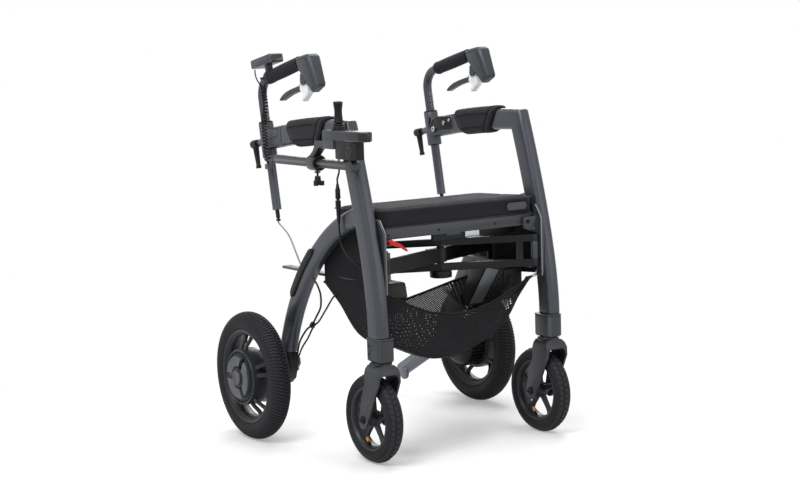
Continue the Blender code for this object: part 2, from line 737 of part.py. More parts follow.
def grip_spot(side, along, lift=0.0):
    """A point of the grip's axis, measured from the bend's corner."""
    y = POST_CORNER[0] + GRIP_WAY[0] * along - GRIP_WAY[1] * lift * -1
    z = POST_CORNER[1] + GRIP_WAY[1] * along - GRIP_WAY[0] * lift
    return Vector((side * SIDE_X, y, z))


def handle_tube(side):
    """Post, bend and grip core in one tube, with index holes on the front."""
    foot, corner = Vector(POST_FOOT), Vector(POST_CORNER)
    tip = corner + Vector(GRIP_WAY) * 0.235
    path = [foot, *bend(foot, corner, tip, BEND_R, 6), tip]
    tube = swept(path, circle(POST_R, 12), side * SIDE_X)
    holes = []
    for i in range(3):
        spot = post_spot(side, 0.774 + 0.015 * i, back=-POST_R)
        way = Vector((0, post_way().z, -post_way().y))
        holes.append(rod(spot - way * 0.004, spot + way * 0.003, 0.0032, 6))
    body = carve(tube, *holes)
    return place(f"handle_tube_{side_name(side)}", body, "satin_frame",
                 (side * SIDE_X, *POST_FOOT))


def post_bush(side):
    """Flanged bush that turns in the casting and lets the post slide."""
    way = post_way()
    start = post_spot(side, 0.675)
    bore = POST_R + GAP
    profile = [(-0.001, 0.0144), (0.0838, 0.0144), (0.0838, 0.0170), (0.0875, 0.0170),
               (0.0875, bore), (-0.001, bore)]
    bush = lathe(profile, start, way, 12, closed=True)
    return place(f"post_bush_{side_name(side)}", bush, "black_plastic", tuple(start))


def grip(side):
    """Soft grip pushed over the tube."""
    way = (0, *GRIP_WAY)
    inner = POST_R + GAP
    profile = [(0.0580, 0.0150), (0.0610, 0.0166), (0.0650, GRIP_R), (0.1940, GRIP_R),
               (0.1960, 0.0166), (0.1990, 0.0150), (0.1990, inner), (0.0580, inner)]
    body = lathe(profile, grip_spot(side, 0.0), way, 12, closed=True)
    return place(f"grip_{side_name(side)}", body, "rubber", tuple(grip_spot(side, 0.0)))


BRAKE_PIVOT = (-0.0089, 0.8605)


def brake_housing(side):
    """Housing at the grip's front end, narrower downwards, with ears for the lever's pin."""
    x = side * SIDE_X
    outline = [(0.0155, 0.9130), (-0.0050, 0.9195), (-0.0370, 0.9245), (-0.0480, 0.9200),
               (-0.0780, 0.8570), (-0.0765, 0.8500), (-0.0500, 0.8360), (-0.0440, 0.8385),
               (0.0046, 0.8869)]
    body = slab(outline, "x", x - 0.017, x + 0.017, 0.0045)
    for corner in body.data.vertices:
        share = min(1.0, max(0.0, (0.905 - corner.co.z) / 0.065))
        corner.co.x = x + (corner.co.x - x) * (1 - 0.36 * share)
    y, z = BRAKE_PIVOT
    ears = []
    for s in (-1, 1):
        ears.append(slab([(y - 0.013, z - 0.002), (y - 0.006, z - 0.0075), (y + 0.006, z - 0.0075),
                          (y + 0.0085, z), (y + 0.0075, z + 0.018), (y - 0.016, z + 0.012)],
                         "x", x + s * 0.0090, x + s * 0.0130))
    pin = rod((x - 0.011, y, z), (x + 0.011, y, z), 0.0025, 10)
    bore = rod(grip_spot(side, 0.190), grip_spot(side, 0.2353), POST_R + GAP, 12)
    body = carve(fuse(body, *ears, pin), bore)
    return place(f"brake_housing_{side_name(side)}", body, "grey_plastic",
                 (x, *BRAKE_PIVOT))


def brake_lever(side):
    """Curved lever with its root piece, turning on the pin between the ears."""
    x, (y, z) = side * SIDE_X, BRAKE_PIVOT
    root = [(y + 0.0088 * math.cos(math.radians(a)), z + 0.0088 * math.sin(math.radians(a)))
            for a in (60, 90, 120, 150, 180, 210)]
    foot = [(-0.0250, 0.8420), (-0.0240, 0.8320), (-0.0015, 0.8140), (0.0045, 0.8160),
            (0.0040, 0.8215), (-0.0040, 0.8300)]
    under = [(0.0110, 0.8390), (0.0350, 0.8345), (0.0600, 0.8285), (0.0850, 0.8200)]
    tip = [(0.1010, 0.8135), (0.1055, 0.8135), (0.1075, 0.8175)]
    above = [(0.0950, 0.8265), (0.0780, 0.8345), (0.0580, 0.8405), (0.0330, 0.8465),
             (0.0110, 0.8510), (0.0110, 0.8640)]
    outline = root + foot + under + tip + above
    body = slab(outline, "x", x - 0.0083, x + 0.0083, 0.0015)
    bore = rod((x - 0.012, y, z), (x + 0.012, y, z), round_outside(0.0027, 10), 10)
    return place(f"brake_lever_{side_name(side)}", carve(body, bore), "black_plastic", (x, y, z))


def clamp_lever(side):
    """Ratchet lever behind the casting that closes it on the post."""
    way = Vector((0, post_way().z, -post_way().y))
    start = post_spot(side, LEVER_Z, back=LEVER_BACK + GAP)
    stud = rod(start, start + way * 0.020, 0.0055, 12)
    head = lathe([(0.016, 0.0095), (0.036, 0.0110), (0.040, 0.0100)], start, way, 14)
    down = -post_way()
    knee = start + way * 0.029 + down * 0.004
    arm = rod(knee, knee + down * 0.052 - way * 0.002, 0.0078, 12, 0.0052)
    tip = rod(knee + down * 0.049 - way * 0.002, knee + down * 0.056 - way * 0.002, 0.0066, 12)
    body = fuse(head, stud, arm, tip)
    return place(f"clamp_lever_{side_name(side)}", body, "black_plastic", tuple(start))


def brake_cable(side):
    """Cable from the foot of the post to the rear leg, with its ferrule and ball."""
    x = side * SIDE_X
    share = 0.545
    way = curve_way(REAR_CURVE, share)
    surface = curve_at(REAR_CURVE, share) + Vector((-way.y, way.x)) * (LEG_DEEP / 2 + 0.0024)
    route = [(x, 0.1470, 0.5170), (x, 0.1198, 0.5027), (x, 0.0946, 0.4840),
             (x, surface.x - way.y * 0.020, surface.y + way.x * 0.020),
             (x, surface.x, surface.y)]
    line = smooth(route, 4)
    foot = Vector((x, *POST_FOOT))
    head = [foot - post_way() * reach for reach in (GAP, 0.020, 0.021, 0.027)]
    radii = [0.0050, 0.0050, 0.0032, 0.0060] + [0.0025] * len(line)
    return place(f"brake_cable_{side_name(side)}", cord(head + line, radii, 1), "rubber")


# Seat and folding cross

def seat_cushion():
    """Crowned cushion with upright, slightly drawn-in sides, thinner to the rear."""
    middle_y = (SEAT_FRONT + SEAT_BACK) / 2
    half_y = (SEAT_BACK - SEAT_FRONT) / 2
    steps = [(0.0, 0.005, 0.0), (0.08, 0.0, 0.0), (0.45, 0.0012, 0.0), (0.85, 0.0, 0.0),
             (0.95, 0.003, 0.001), (1.0, 0.010, 0.002), (1.0, 0.045, 0.005), (1.0, 0.080, 0.007)]
    rings = []
    for share, inset, crown in steps:
        corner = SEAT_CORNER + inset * 0.2
        section = round_section(SEAT_HALF - inset, half_y - inset, corner, 4)
        ring = []
        for a, b in long_edges(section):
            fall = 0.009 * (b + half_y) / (2 * half_y)
            high = SEAT_HIGH - 0.004 - fall
            ring.append((a, middle_y + b, SEAT_LOW + GAP + (high - SEAT_LOW - GAP) * share + crown))
        rings.append(ring)
    return place("seat_cushion", loft(rings), "seat_fabric", (SEAT_PIVOT[0], 0.0, SEAT_PIVOT[1]))


def long_edges(section, parts=5):
    """Add points along the straight stretches of a section."""
    found = []
    per_quarter = len(section) // 4
    for i, (a, b) in enumerate(section):
        next_a, next_b = section[(i + 1) % len(section)]
        found.append((a, b))
        if (i + 1) % per_quarter == 0:
            found += [(a + (next_a - a) * k / parts, b + (next_b - b) * k / parts)
                      for k in range(1, parts)]
    return found


def seat_panel():
    """Board under the cushion with its front and rear rails, hinged on the left plate."""
    pivot_x, pivot_z = SEAT_PIVOT
    board_low = SEAT_LOW - 0.0055
    board = box((-0.2050, SEAT_FACE + GAP, board_low), (0.2090, SEAT_BACK - 0.010, SEAT_LOW))
    front = box((-0.2050, SEAT_FACE + GAP, SEAT_REST + GAP),
                (0.2000, SEAT_FACE + SEAT_RAIL_DEEP, board_low + 0.0005))
    rear = box((-0.1950, SEAT_BACK - 0.035, 0.5120), (0.1800, SEAT_BACK - 0.020, board_low + 0.0005))
    latch = box((-0.012, -0.2300, 0.4960), (0.030, -0.2140, board_low + 0.0005))
    bore = rod((pivot_x, SEAT_FACE - 0.004, pivot_z), (pivot_x, SEAT_FACE + 0.020, pivot_z),
               round_outside(SEAT_AXLE_R + 0.0001, 12), 12)
    body = carve(fuse(board, front, rear, latch), bore)
    return place("seat_panel", body, "grey_steel", (pivot_x, 0.0, pivot_z))


def cross_spot(share, flip, z):
    """A point along a cross arm from its hinge; flip is the arm on the right hinge."""
    side = -1 if flip else 1
    x = side * (HINGE_X - 2 * ARM_HALF * math.cos(ARM_ANGLE) * share)
    y = HINGE_Y + 2 * ARM_HALF * math.sin(ARM_ANGLE) * share
    return Vector((x, y, z))


def cross_bar(flip, low, high, start=0.0, end=1.0, thick=ARM_THICK):
    middle = (low + high) / 2
    return beam(cross_spot(start, flip, middle), cross_spot(end, flip, middle),
                thick, high - low, (0, 0, 1))


def cross_arm_double():
    """Arm on the left hinge: two bars with a window, the centre pin and its cap."""
    eyes = []
    for low, high in ((0.4093, 0.4257), (0.4683, 0.4837)):
        for share in (0.0, 1.0):
            eyes.append(rod(cross_spot(share, False, low), cross_spot(share, False, high),
                            BARREL_R if share == 0 else ARM_THICK / 2 - 0.0001, 12))
    bars = [cross_bar(False, 0.409, 0.426), cross_bar(False, 0.468, 0.484)]
    upright = ARM_THICK - 0.002
    posts = [cross_bar(False, 0.420, 0.475, 0.065, 0.095, upright),
             cross_bar(False, 0.420, 0.475, 0.925, 0.975, upright)]
    pin = rod(cross_spot(0.5, False, 0.400), cross_spot(0.5, False, 0.487), 0.0085, 12)
    cap = rod(cross_spot(0.5, False, 0.394), cross_spot(0.5, False, 0.4095), 0.0255, 18)
    body = fuse(bars[0], bars[1], *posts, *eyes, pin, cap)
    spot = cross_spot(0.0, False, 0.0)
    bore = rod(spot + Vector((0, 0, 0.40)), spot + Vector((0, 0, 0.49)), round_outside(0.0041, 12), 12)
    return place("cross_arm_double", carve(body, bore), "black_steel", tuple(spot))


def cross_arm_single():
    """Arm on the right hinge, passing through the window of the double arm."""
    low, high = 0.4305, 0.4635
    bar = cross_bar(True, low, high)
    eye = rod(cross_spot(0.0, True, low + GAP), cross_spot(0.0, True, high - GAP), BARREL_R, 12)
    hub = rod(cross_spot(0.5, True, low + GAP), cross_spot(0.5, True, high - GAP), 0.0150, 16)
    foot = rod(cross_spot(1.0, True, RAIL_HIGH + GAP), cross_spot(1.0, True, high - GAP),
               ARM_THICK / 2 - 0.0001, 12)
    body = fuse(bar, eye, hub, foot)
    bores = []
    for share, radius in ((0.0, 0.0041), (0.5, 0.0086)):
        bores.append(rod(cross_spot(share, True, 0.42), cross_spot(share, True, 0.48),
                         round_outside(radius, 12), 12))
    return place("cross_arm_single", carve(body, *bores), "black_steel",
                 tuple(cross_spot(0.5, True, 0.0)))


def battery_pack():
    """Battery under the left slide rail, its ends sloped like the rear leg."""
    outline = [(-0.2320, 0.4024), (-0.1000, 0.4024), (-0.0430, 0.3110), (-0.0740, 0.2910),
               (-0.2050, 0.3250), (-0.2320, 0.3600)]
    body = slab(outline, "x", 0.1500, 0.2050, 0.004)
    return place("battery_pack", body, "black_plastic")


def controller_box():
    """Motor controller under the right slide rail."""
    outline = [(-0.2400, 0.4024), (-0.1450, 0.4024), (-0.1250, 0.3450), (-0.1420, 0.3300),
               (-0.2280, 0.3300), (-0.2480, 0.3700)]
    body = slab(outline, "x", -0.2052, -0.1350, 0.004)
    return place("controller_box", body, "olive_plastic")


def basket_ring(half, front, back, rim, steps=7):
    """One loop round the bag, its height following the hammock's sag."""
    narrow = half - 0.003
    corners = [(-half, front), (half, front), (narrow, back), (-narrow, back)]
    ring = []
    for i, corner in enumerate(corners):
        here, after = Vector(corner), Vector(corners[(i + 1) % 4])
        parts = (steps, 4, steps, 4)[i]
        ring += [here.lerp(after, k / parts) for k in range(parts)]
    return [(p.x, p.y, rim(p.x, p.y)) for p in ring]


def basket():
    """Mesh bag slung between the side frames, its bottom sagging in the middle."""
    wall = 0.0025
    half, front, back = INNER_X - GAP, -0.2830, 0.0500

    def bottom(x, y):
        return 0.200 + 0.068 * (x / 0.2) ** 2

    def rim(x, y):
        share = (y - front) / (back - front)
        return 0.316 + 0.052 * min(1.0, abs(x) / 0.2) ** 2 - 0.006 * share

    def level(share, lift):
        return lambda x, y: bottom(x, y) + lift + (rim(x, y) - bottom(x, y) - lift) * share

    outside = []
    for share, inset in ((0.0, 0.022), (0.10, 0.008), (0.3, 0.001), (0.65, 0.0), (1.0, 0.0)):
        outside.append(basket_ring(half - inset, front + inset, back - inset, level(share, 0.0)))
    inside = []
    for share, inset in ((1.0, 0.0), (0.65, 0.0), (0.3, 0.001), (0.10, 0.008), (0.0, 0.022)):
        move = inset + wall
        inside.append(basket_ring(half - move, front + move, back - move, level(share, wall)))
    return place("basket", bag(outside, inside, wall), "basket_mesh")


def bag(outside, inside, wall):
    """Close a bag from its outer and inner rings, with a floor strip between front and back."""
    count = len(outside[0])
    rings = outside + inside
    points = [p for ring in rings for p in ring]
    faces = []
    for i in range(len(rings) - 1):
        faces += band(i * count, (i + 1) * count, count)
    across = (count - 8) // 2
    for base, flip in ((0, False), ((len(rings) - 1) * count, True)):
        faces += floor_faces(points, base, across, flip)
    return solid_from(points, faces)


def floor_faces(points, base, across, flip):
    """Rows of quads over the bag's floor, from the front edge to the back edge."""
    front = [base + i for i in range(across + 1)]
    right = [base + across + i for i in range(5)]
    count = 2 * across + 8
    back = [base + across + 4 + i for i in range(across + 1)]
    left = [base + (2 * across + 4 + i) % count for i in range(5)]
    back = back[::-1]
    left = left[::-1]
    rows = [front]
    for k in range(1, 4):
        row = [left[k]]
        for i in range(1, across):
            near, far = Vector(points[front[i]]), Vector(points[back[i]])
            points.append(tuple(near.lerp(far, k / 4)))
            row.append(len(points) - 1)
        row.append(right[k])
        rows.append(row)
    rows.append(back)
    faces = []
    for low, high in zip(rows, rows[1:]):
        for i in range(across):
            quad = (low[i], low[i + 1], high[i + 1], high[i])
            faces.append(quad[::-1] if flip else quad)
    return faces


def release_lever():
    """Red catch that frees the seat before folding."""
    x, z = CATCH_PIVOT
    outline = [(-0.2085, 0.5010), (-0.2030, 0.5060), (-0.1945, 0.5085), (-0.1880, 0.5040),
               (-0.1700, 0.4960), (-0.1520, 0.4810), (-0.1530, 0.4770), (-0.1700, 0.4880),
               (-0.1900, 0.4945), (-0.2060, 0.4960)]
    body = slab(outline, "y", SEAT_FACE - 0.0088, SEAT_FACE - GAP, 0.0012)
    pin = rod((x, SEAT_FACE - 0.002, z), (x, SEAT_FACE + 0.0075, z), 0.0027, 10)
    return place("release_lever", fuse(body, pin), "red_plastic", (x, SEAT_FACE - 0.005, z))


# Joystick, its rod and the electric parts

def mount_rod():
    """Square rod under the right armrest, from the casting to the front leg."""
    low = (ROD_X - ROD_HALF, ROD_FRONT, ROD_Z - ROD_HALF)
    high = (ROD_X + ROD_HALF, ROD_BACK, ROD_Z + ROD_HALF)
    disc = rod((ROD_X - 0.0120, ROD_FRONT - 0.003, ROD_Z - 0.0005),
               (ROD_X + 0.0092, ROD_FRONT - 0.003, ROD_Z - 0.0005), 0.0130, 18)
    foot = rod((ROD_X, ROD_FRONT + 0.017, ROD_Z + 0.001),
               (-OUTER_X - GAP, ROD_FRONT + 0.017, ROD_Z + 0.001), 0.0100, 12)
    return place("mount_rod", fuse(box(low, high, 0.0012), disc, foot), "grey_steel")


def rod_clamp():
    """Collar on the rod with the web that carries the joystick."""
    ring = lathe([(-0.064, 0.0145), (-0.070, 0.0178), (-0.096, 0.0186), (-0.100, 0.0186)],
                 (ROD_X, 0, ROD_Z), (0, 1, 0), 20)
    web = slab([(-0.082, 0.692), (-0.0985, 0.692), (-0.112, 0.703), (-0.124, 0.7135),
                (HOUSING_BACK + GAP, 0.7150), (HOUSING_BACK + GAP, 0.7290), (-0.106, 0.7290),
                (-0.1055, 0.717), (-0.098, 0.706), (-0.086, 0.6965)],
               "x", ROD_X - 0.014, ROD_X + 0.0055)
    room = ROD_HALF + GAP
    hole = box((ROD_X - room, -0.12, ROD_Z - room), (ROD_X + room, -0.05, ROD_Z + room))
    screw_way = rod((ROD_X, -0.093, 0.650), (ROD_X, -0.093, 0.668), round_outside(0.0028, 10), 10)
    body = carve(fuse(ring, web), hole, screw_way)
    return place("rod_clamp", body, "cast_metal", (ROD_X, -0.083, ROD_Z))


def thumbscrew():
    """Three-lobed screw that locks the collar on the rod."""
    foot = (ROD_X, -0.093, 0.0)
    tip = ROD_Z - ROD_HALF - GAP
    shaft = lathe([(0.640, 0.0026), (tip, 0.0026)], foot, (0, 0, 1), 8)
    washer = lathe([(0.6540, 0.0070), (0.6580 - GAP, 0.0070)], foot, (0, 0, 1), 10)
    hub = lathe([(0.6340, 0.0078), (0.6470, 0.0068)], foot, (0, 0, 1), 10)
    lobes = []
    for i in range(3):
        turn = math.radians(90 + 120 * i)
        spot = Vector(foot) + Vector((math.cos(turn), math.sin(turn), 0)) * 0.0095
        lobes.append(rod(spot + Vector((0, 0, 0.6250)), spot + Vector((0, 0, 0.6360)), 0.0055, 8))
    core = lathe([(0.6260, 0.0090), (0.6350, 0.0090)], foot, (0, 0, 1), 12)
    return place("thumbscrew", fuse(core, *lobes, hub, washer, shaft), "black_plastic",
                 (ROD_X, -0.093, 0.636))


def joystick_housing():
    """Joystick body: plate with a round front, rear block, lower box and its round cap."""
    half = 0.0175
    outline = [(STICK_X - half, HOUSING_BACK), (STICK_X + half, HOUSING_BACK)]
    for i in range(9):
        turn = -math.pi * i / 8
        outline.append((STICK_X + half * math.cos(turn), HOUSING_NOSE + half * math.sin(turn)))
    deck = slab(outline, "z", 0.7335, 0.7560, 0.0025)
    block = box((STICK_X - 0.0172, HOUSING_BACK - 0.045, 0.7140),
                (STICK_X + 0.0172, HOUSING_BACK - 0.0004, 0.7390))
    lower = slab([(STICK_X + a, -0.2455 + b) for a, b in round_section(0.0155, 0.0425, 0.009)],
                 "z", 0.6925, 0.7410, 0.0015)
    cap = rod((STICK_X - 0.0140, -0.2680, 0.7110), (STICK_X - 0.0172, -0.2680, 0.7110), 0.0098, 20,
              0.0090)
    well = rod((STICK_X, STICK_Y, 0.7470), (STICK_X, STICK_Y, 0.7600), round_outside(0.0075, 16), 16)
    body = carve(fuse(deck, block, lower, cap), well)
    return place("joystick_housing", body, "grey_plastic")


def joystick_gaiter():
    """Ribbed rubber boot round the foot of the stick."""
    bore = 0.0050 + GAP
    profile = [(0.7563, 0.0166), (0.7590, 0.0168), (0.7605, 0.0130), (0.7630, 0.0150),
               (0.7655, 0.0108), (0.7680, 0.0126), (0.7710, 0.0095), (0.7720, bore), (0.7563, bore)]
    body = lathe(profile, (STICK_X, STICK_Y, 0), (0, 0, 1), 14, closed=True)
    return place("joystick_gaiter", body, "rubber", (STICK_X, STICK_Y, 0.7560))


def joystick_stick():
    """Waisted knob on its shaft."""
    profile = [(0.7530, 0.0050), (0.7725, 0.0050), (0.7725, 0.0115), (0.7800, 0.0100),
               (0.7920, 0.0088), (0.8030, 0.0090), (0.8120, 0.0104), (0.8170, 0.0108),
               (0.8195, 0.0098), (0.8200, 0.0070)]
    body = lathe(profile, (STICK_X, STICK_Y, 0), (0, 0, 1), 14)
    return place("joystick_stick", body, "black_plastic", (STICK_X, STICK_Y, 0.7560))


def joystick_cable():
    """Cable with its in-line connector, from the joystick to the controller."""
    x, top_x = -0.2655, -0.2640
    route = [(top_x, -0.1680, 0.7137, 0.0022), (top_x, -0.1680, 0.7080, 0.0022),
             (-0.2598, -0.1680, 0.6950, 0.0022), (-0.2598, -0.1680, 0.6620, 0.0022),
             (x, -0.1680, 0.6440, 0.0022), (x, -0.1680, 0.6330, 0.0030), (x, -0.1680, 0.6200, 0.0055),
             (x, -0.1680, 0.5985, 0.0060), (x, -0.1680, 0.5980, 0.0040),
             (x, -0.1680, 0.5950, 0.0040), (x, -0.1680, 0.5945, 0.0062),
             (x, -0.1680, 0.5800, 0.0062), (x, -0.1680, 0.5795, 0.0045),
             (x, -0.1680, 0.5780, 0.0055), (x, -0.1680, 0.5420, 0.0030)]
    line = smooth([(x, -0.1680, 0.5400), (-0.2650, -0.1690, 0.5200), (-0.2630, -0.1740, 0.4920),
                   (-0.2590, -0.1930, 0.4680), (-0.2450, -0.2120, 0.4500),
                   (-0.2280, -0.2160, 0.4380), (-0.2130, -0.2150, 0.4270),
                   (-0.1960, -0.2100, 0.4160), (-0.1880, -0.2090, 0.4080),
                   (-0.1880, -0.2090, 0.4024 + GAP)], 4)
    points = [p[:3] for p in route] + line
    radii = [p[3] for p in route] + [0.0022] * len(line)
    return place("joystick_cable", cord(points, radii, 1), "rubber")


def motor_cable():
    """Supply cable and sensor cable of the right motor, tied together on the way."""
    share = 0.535
    way = curve_way(REAR_CURVE, share)
    under = curve_at(REAR_CURVE, share) - Vector((-way.y, way.x)) * (LEG_DEEP / 2 + 0.0026)
    x = -0.2360
    first = smooth([(x, under.x, under.y), (x, under.x + way.y * 0.012, under.y - way.x * 0.012),
                    (x, -0.0260, 0.3600), (x, -0.0240, 0.3300), (x, -0.0020, 0.3040),
                    (x, 0.0180, 0.2830), (x, 0.0470, 0.2660), (x, 0.0800, 0.2330),
                    (x, 0.0955, 0.1960)], 4)
    second = smooth([(-0.1950, -0.1358, 0.3800), (-0.1990, -0.1280, 0.3815),
                     (-0.2120, -0.1080, 0.3805), (-0.2290, -0.0800, 0.3640),
                     (x, -0.0500, 0.3290), (x, -0.0150, 0.2960),
                     (x, 0.0120, 0.2790), (x, 0.0400, 0.2480), (x, 0.0700, 0.2200),
                     (x, 0.0950, 0.1860)], 3)
    tie = rod((x, 0.0130, 0.2860), (x, 0.0190, 0.2790), 0.0070, 12)
    body = fuse(as_mesh(cord(first, [0.0024] * len(first), 1)),
                tie, as_mesh(cord(second, [0.0026] * len(second), 1)))
    return place("motor_cable", body, "rubber")


def display_unit():
    """Display box over the right grip's rear end, held by a ring on the tube."""
    way = Vector((0, -0.982, 0.187)).normalized()
    up = Vector((0, way.z, -way.y))
    middle = Vector((-SIDE_X, 0.175, 0.9070))
    side = Vector((1, 0, 0))
    rings = []
    for along, inset in ((-0.050, 0.004), (-0.046, 0.0), (0.046, 0.0), (0.050, 0.003)):
        section = round_section(0.019 - inset, 0.0105 - inset, 0.003, 2)
        rings.append([middle + way * along + side * a + up * b for a, b in section])
    body = loft(rings)
    ring = rod(grip_spot(-1, 0.0440), grip_spot(-1, 0.0570), 0.0160, 16)
    neck = beam(grip_spot(-1, 0.0505, 0.008), grip_spot(-1, 0.0505, 0.036), 0.016, 0.011,
                (0, *GRIP_WAY))
    screw = rod((-SIDE_X - 0.012, 0.1700, 0.8660), (-SIDE_X - 0.022, 0.1700, 0.8660), 0.0032, 8)
    hole = rod(grip_spot(-1, 0.035), grip_spot(-1, 0.066), POST_R + GAP, 12)
    whole = carve(fuse(body, neck, ring, screw), hole)
    return place("display_unit", whole, "grey_plastic")


def least_gap(points, radius, per_turn):
    """Least space between a cord's surfaces, over points more than half a curl apart."""
    least = 1.0
    for i, one in enumerate(points):
        for other in points[i + per_turn // 2:i + 3 * per_turn]:
            least = min(least, (other - one).length - 2 * radius)
    return least


def even_points(line, count):
    """Points at equal steps along a line."""
    reach = [0.0]
    for one, other in zip(line, line[1:]):
        reach.append(reach[-1] + (other - one).length)
    found, k = [], 0
    for i in range(count + 1):
        want = reach[-1] * i / count
        while k < len(line) - 2 and reach[k + 1] < want:
            k += 1
        found.append(line[k].lerp(line[k + 1], (want - reach[k]) / (reach[k + 1] - reach[k])))
    return found


def curly_cord():
    """Curly cord from the display unit, along the post and past the casting, to its lug."""
    coil_r, wire_r, curls, per_turn = 0.0042, 0.0015, 24, 6
    lead = smooth([(-0.2575, 0.2085, 0.8868), (-0.2580, 0.2080, 0.8750), (-0.2580, 0.2040, 0.8550),
                   (-0.2565, 0.1985, 0.8400), (-0.2525, 0.1920, 0.8290)], 2)
    line = smooth([(-0.2475, 0.1869, 0.8220), (-0.2450, 0.1840, 0.8100), (-0.2500, 0.1785, 0.7790),
                   (-0.2664, 0.1540, 0.7540), (-0.2668, 0.1520, 0.7000),
                   (-0.2690, 0.1440, 0.6840), (-0.2694, 0.1440, 0.6730)], 4)
    centres = even_points(line, curls * per_turn)
    coil = []
    for i, centre in enumerate(centres):
        turn = 2 * math.pi * i / per_turn
        along = (centres[min(i + per_turn, len(centres) - 1)] - centres[max(i - per_turn, 0)])
        across = Vector((0, 1, 0)).cross(along).normalized()
        beside = along.normalized().cross(across)
        coil.append(centre + (across * math.cos(turn) + beside * math.sin(turn)) * coil_r)
    end = Vector((-0.2670, 0.1435, CORD_LUG + GAP))
    print(f"curly_cord: least gap to itself {least_gap(coil, wire_r, per_turn) * 1000:.2f} mm")
    points = lead + coil + [end + Vector((0, 0, 0.0045)), end]
    body = cord(points, [wire_r] * len(points), 1)
    return place("curly_cord", body, "rubber")


def build():
    """Clear the scene and model every piece."""
    for old in list(bpy.data.objects):
        bpy.data.objects.remove(old)
    for side in (1, -1):
        for piece in (front_leg, rear_leg, arm_pad, post_clamp, leg_collar, side_plate,
                      axle_bracket, tipping_bar, caster, drive_wheel, handle_tube, post_bush,
                      grip, brake_housing, brake_lever, clamp_lever, brake_cable):
            piece(side)
    for piece in (seat_cushion, seat_panel, cross_arm_double, cross_arm_single, battery_pack,
                  controller_box, basket, release_lever, mount_rod, rod_clamp, thumbscrew,
                  joystick_housing, joystick_gaiter, joystick_stick, joystick_cable,
                  motor_cable, display_unit, curly_cord):
        piece()


build()
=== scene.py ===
"""Dressed model of a rollator wheelchair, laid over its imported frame.

Units are metres, +Z is up, the user sits facing -Y and their right hand is at -X.
Each sub-assembly is a class with its sizes as fields; main() builds them in order.
"""

import json
import logging
from dataclasses import dataclass
from enum import Enum
from itertools import chain
from math import cos, exp, pi, radians, sin, sqrt, tan
from typing import Callable, ClassVar, Iterable, Sequence

import bmesh
import bpy
from mathutils import Matrix, Vector

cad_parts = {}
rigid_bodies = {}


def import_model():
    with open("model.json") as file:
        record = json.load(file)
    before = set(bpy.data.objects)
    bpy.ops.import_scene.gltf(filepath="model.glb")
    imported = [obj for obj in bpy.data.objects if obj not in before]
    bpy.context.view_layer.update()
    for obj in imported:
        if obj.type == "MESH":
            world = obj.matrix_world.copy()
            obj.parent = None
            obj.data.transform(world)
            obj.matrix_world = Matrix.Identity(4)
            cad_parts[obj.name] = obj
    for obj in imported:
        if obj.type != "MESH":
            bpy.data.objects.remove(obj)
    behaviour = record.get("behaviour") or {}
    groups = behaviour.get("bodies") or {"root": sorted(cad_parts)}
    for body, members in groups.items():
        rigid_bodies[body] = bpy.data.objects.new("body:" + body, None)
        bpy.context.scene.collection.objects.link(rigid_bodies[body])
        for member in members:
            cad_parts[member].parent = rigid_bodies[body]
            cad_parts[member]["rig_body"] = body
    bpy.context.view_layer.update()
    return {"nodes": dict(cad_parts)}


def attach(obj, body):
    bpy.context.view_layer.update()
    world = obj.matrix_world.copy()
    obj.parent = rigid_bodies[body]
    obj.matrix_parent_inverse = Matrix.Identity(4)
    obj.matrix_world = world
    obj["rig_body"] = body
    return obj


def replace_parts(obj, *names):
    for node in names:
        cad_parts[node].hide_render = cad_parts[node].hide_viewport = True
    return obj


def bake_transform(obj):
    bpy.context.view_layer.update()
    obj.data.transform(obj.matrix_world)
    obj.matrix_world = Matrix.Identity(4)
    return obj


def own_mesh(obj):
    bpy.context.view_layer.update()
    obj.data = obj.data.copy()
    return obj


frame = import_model()
LOG = logging.getLogger("rollator")

Point = Sequence[float]
Ring = list[Vector]
Outline = list[tuple[float, float]]
Table = tuple[tuple[float, float], ...]
Piece = bpy.types.Object
Tree = bpy.types.NodeTree
Node = bpy.types.Node
Socket = bpy.types.NodeSocket


class Side(Enum):
    """The two sides of the frame, with the sign of their X."""

    LEFT = 1
    RIGHT = -1

    @property
    def tag(self) -> str:
        """The side's word in node names."""
        return self.name.lower()


class Pattern(Enum):
    """How a finish breaks up its surface."""

    GRAIN = "grain"
    FLAKE = "flake"
    WEAVE = "weave"
    NET = "net"
    BRUSHED = "brushed"


# Node trees

def linear(hex_text: str) -> tuple[float, float, float, float]:
    """Turn an sRGB hex colour into linear values.

    Args:
        hex_text: six hex digits.

    Returns:
        Linear red, green, blue and an alpha of one.
    """
    values = [int(hex_text[i:i + 2], 16) / 255 for i in (0, 2, 4)]
    red, green, blue = (
        v / 12.92 if v <= 0.04045 else ((v + 0.055) / 1.055) ** 2.4 for v in values)
    return red, green, blue, 1.0


def fed(tree: Tree, node: Node, links: dict) -> Node:
    """Fill a node's inputs.

    Args:
        tree: the node's tree.
        node: the node.
        links: input name or index to a value, to a socket, or to a node whose first output it is.

    Returns:
        The same node.
    """
    for key, value in links.items():
        if isinstance(value, Node):
            value = value.outputs[0]
        if isinstance(value, Socket):
            tree.links.new(value, node.inputs[key])
        else:
            node.inputs[key].default_value = value
    return node


def add(tree: Tree, kind: str, links: dict | None = None, **settings: object) -> Node:
    """Add a node with its settings, socket values and links.

    Args:
        tree: the node tree that gets the node.
        kind: the node's type name, where a shader node's goes without its prefix.
        links: what fills its inputs, as fed takes it.
        settings: properties of the node itself.

    Returns:
        The new node.
    """
    full = kind.startswith(("Geometry", "Function", "NodeGroup"))
    node = tree.nodes.new(kind if full else "ShaderNode" + kind)
    for key, value in settings.items():
        setattr(node, key, value)
    return fed(tree, node, links or {})


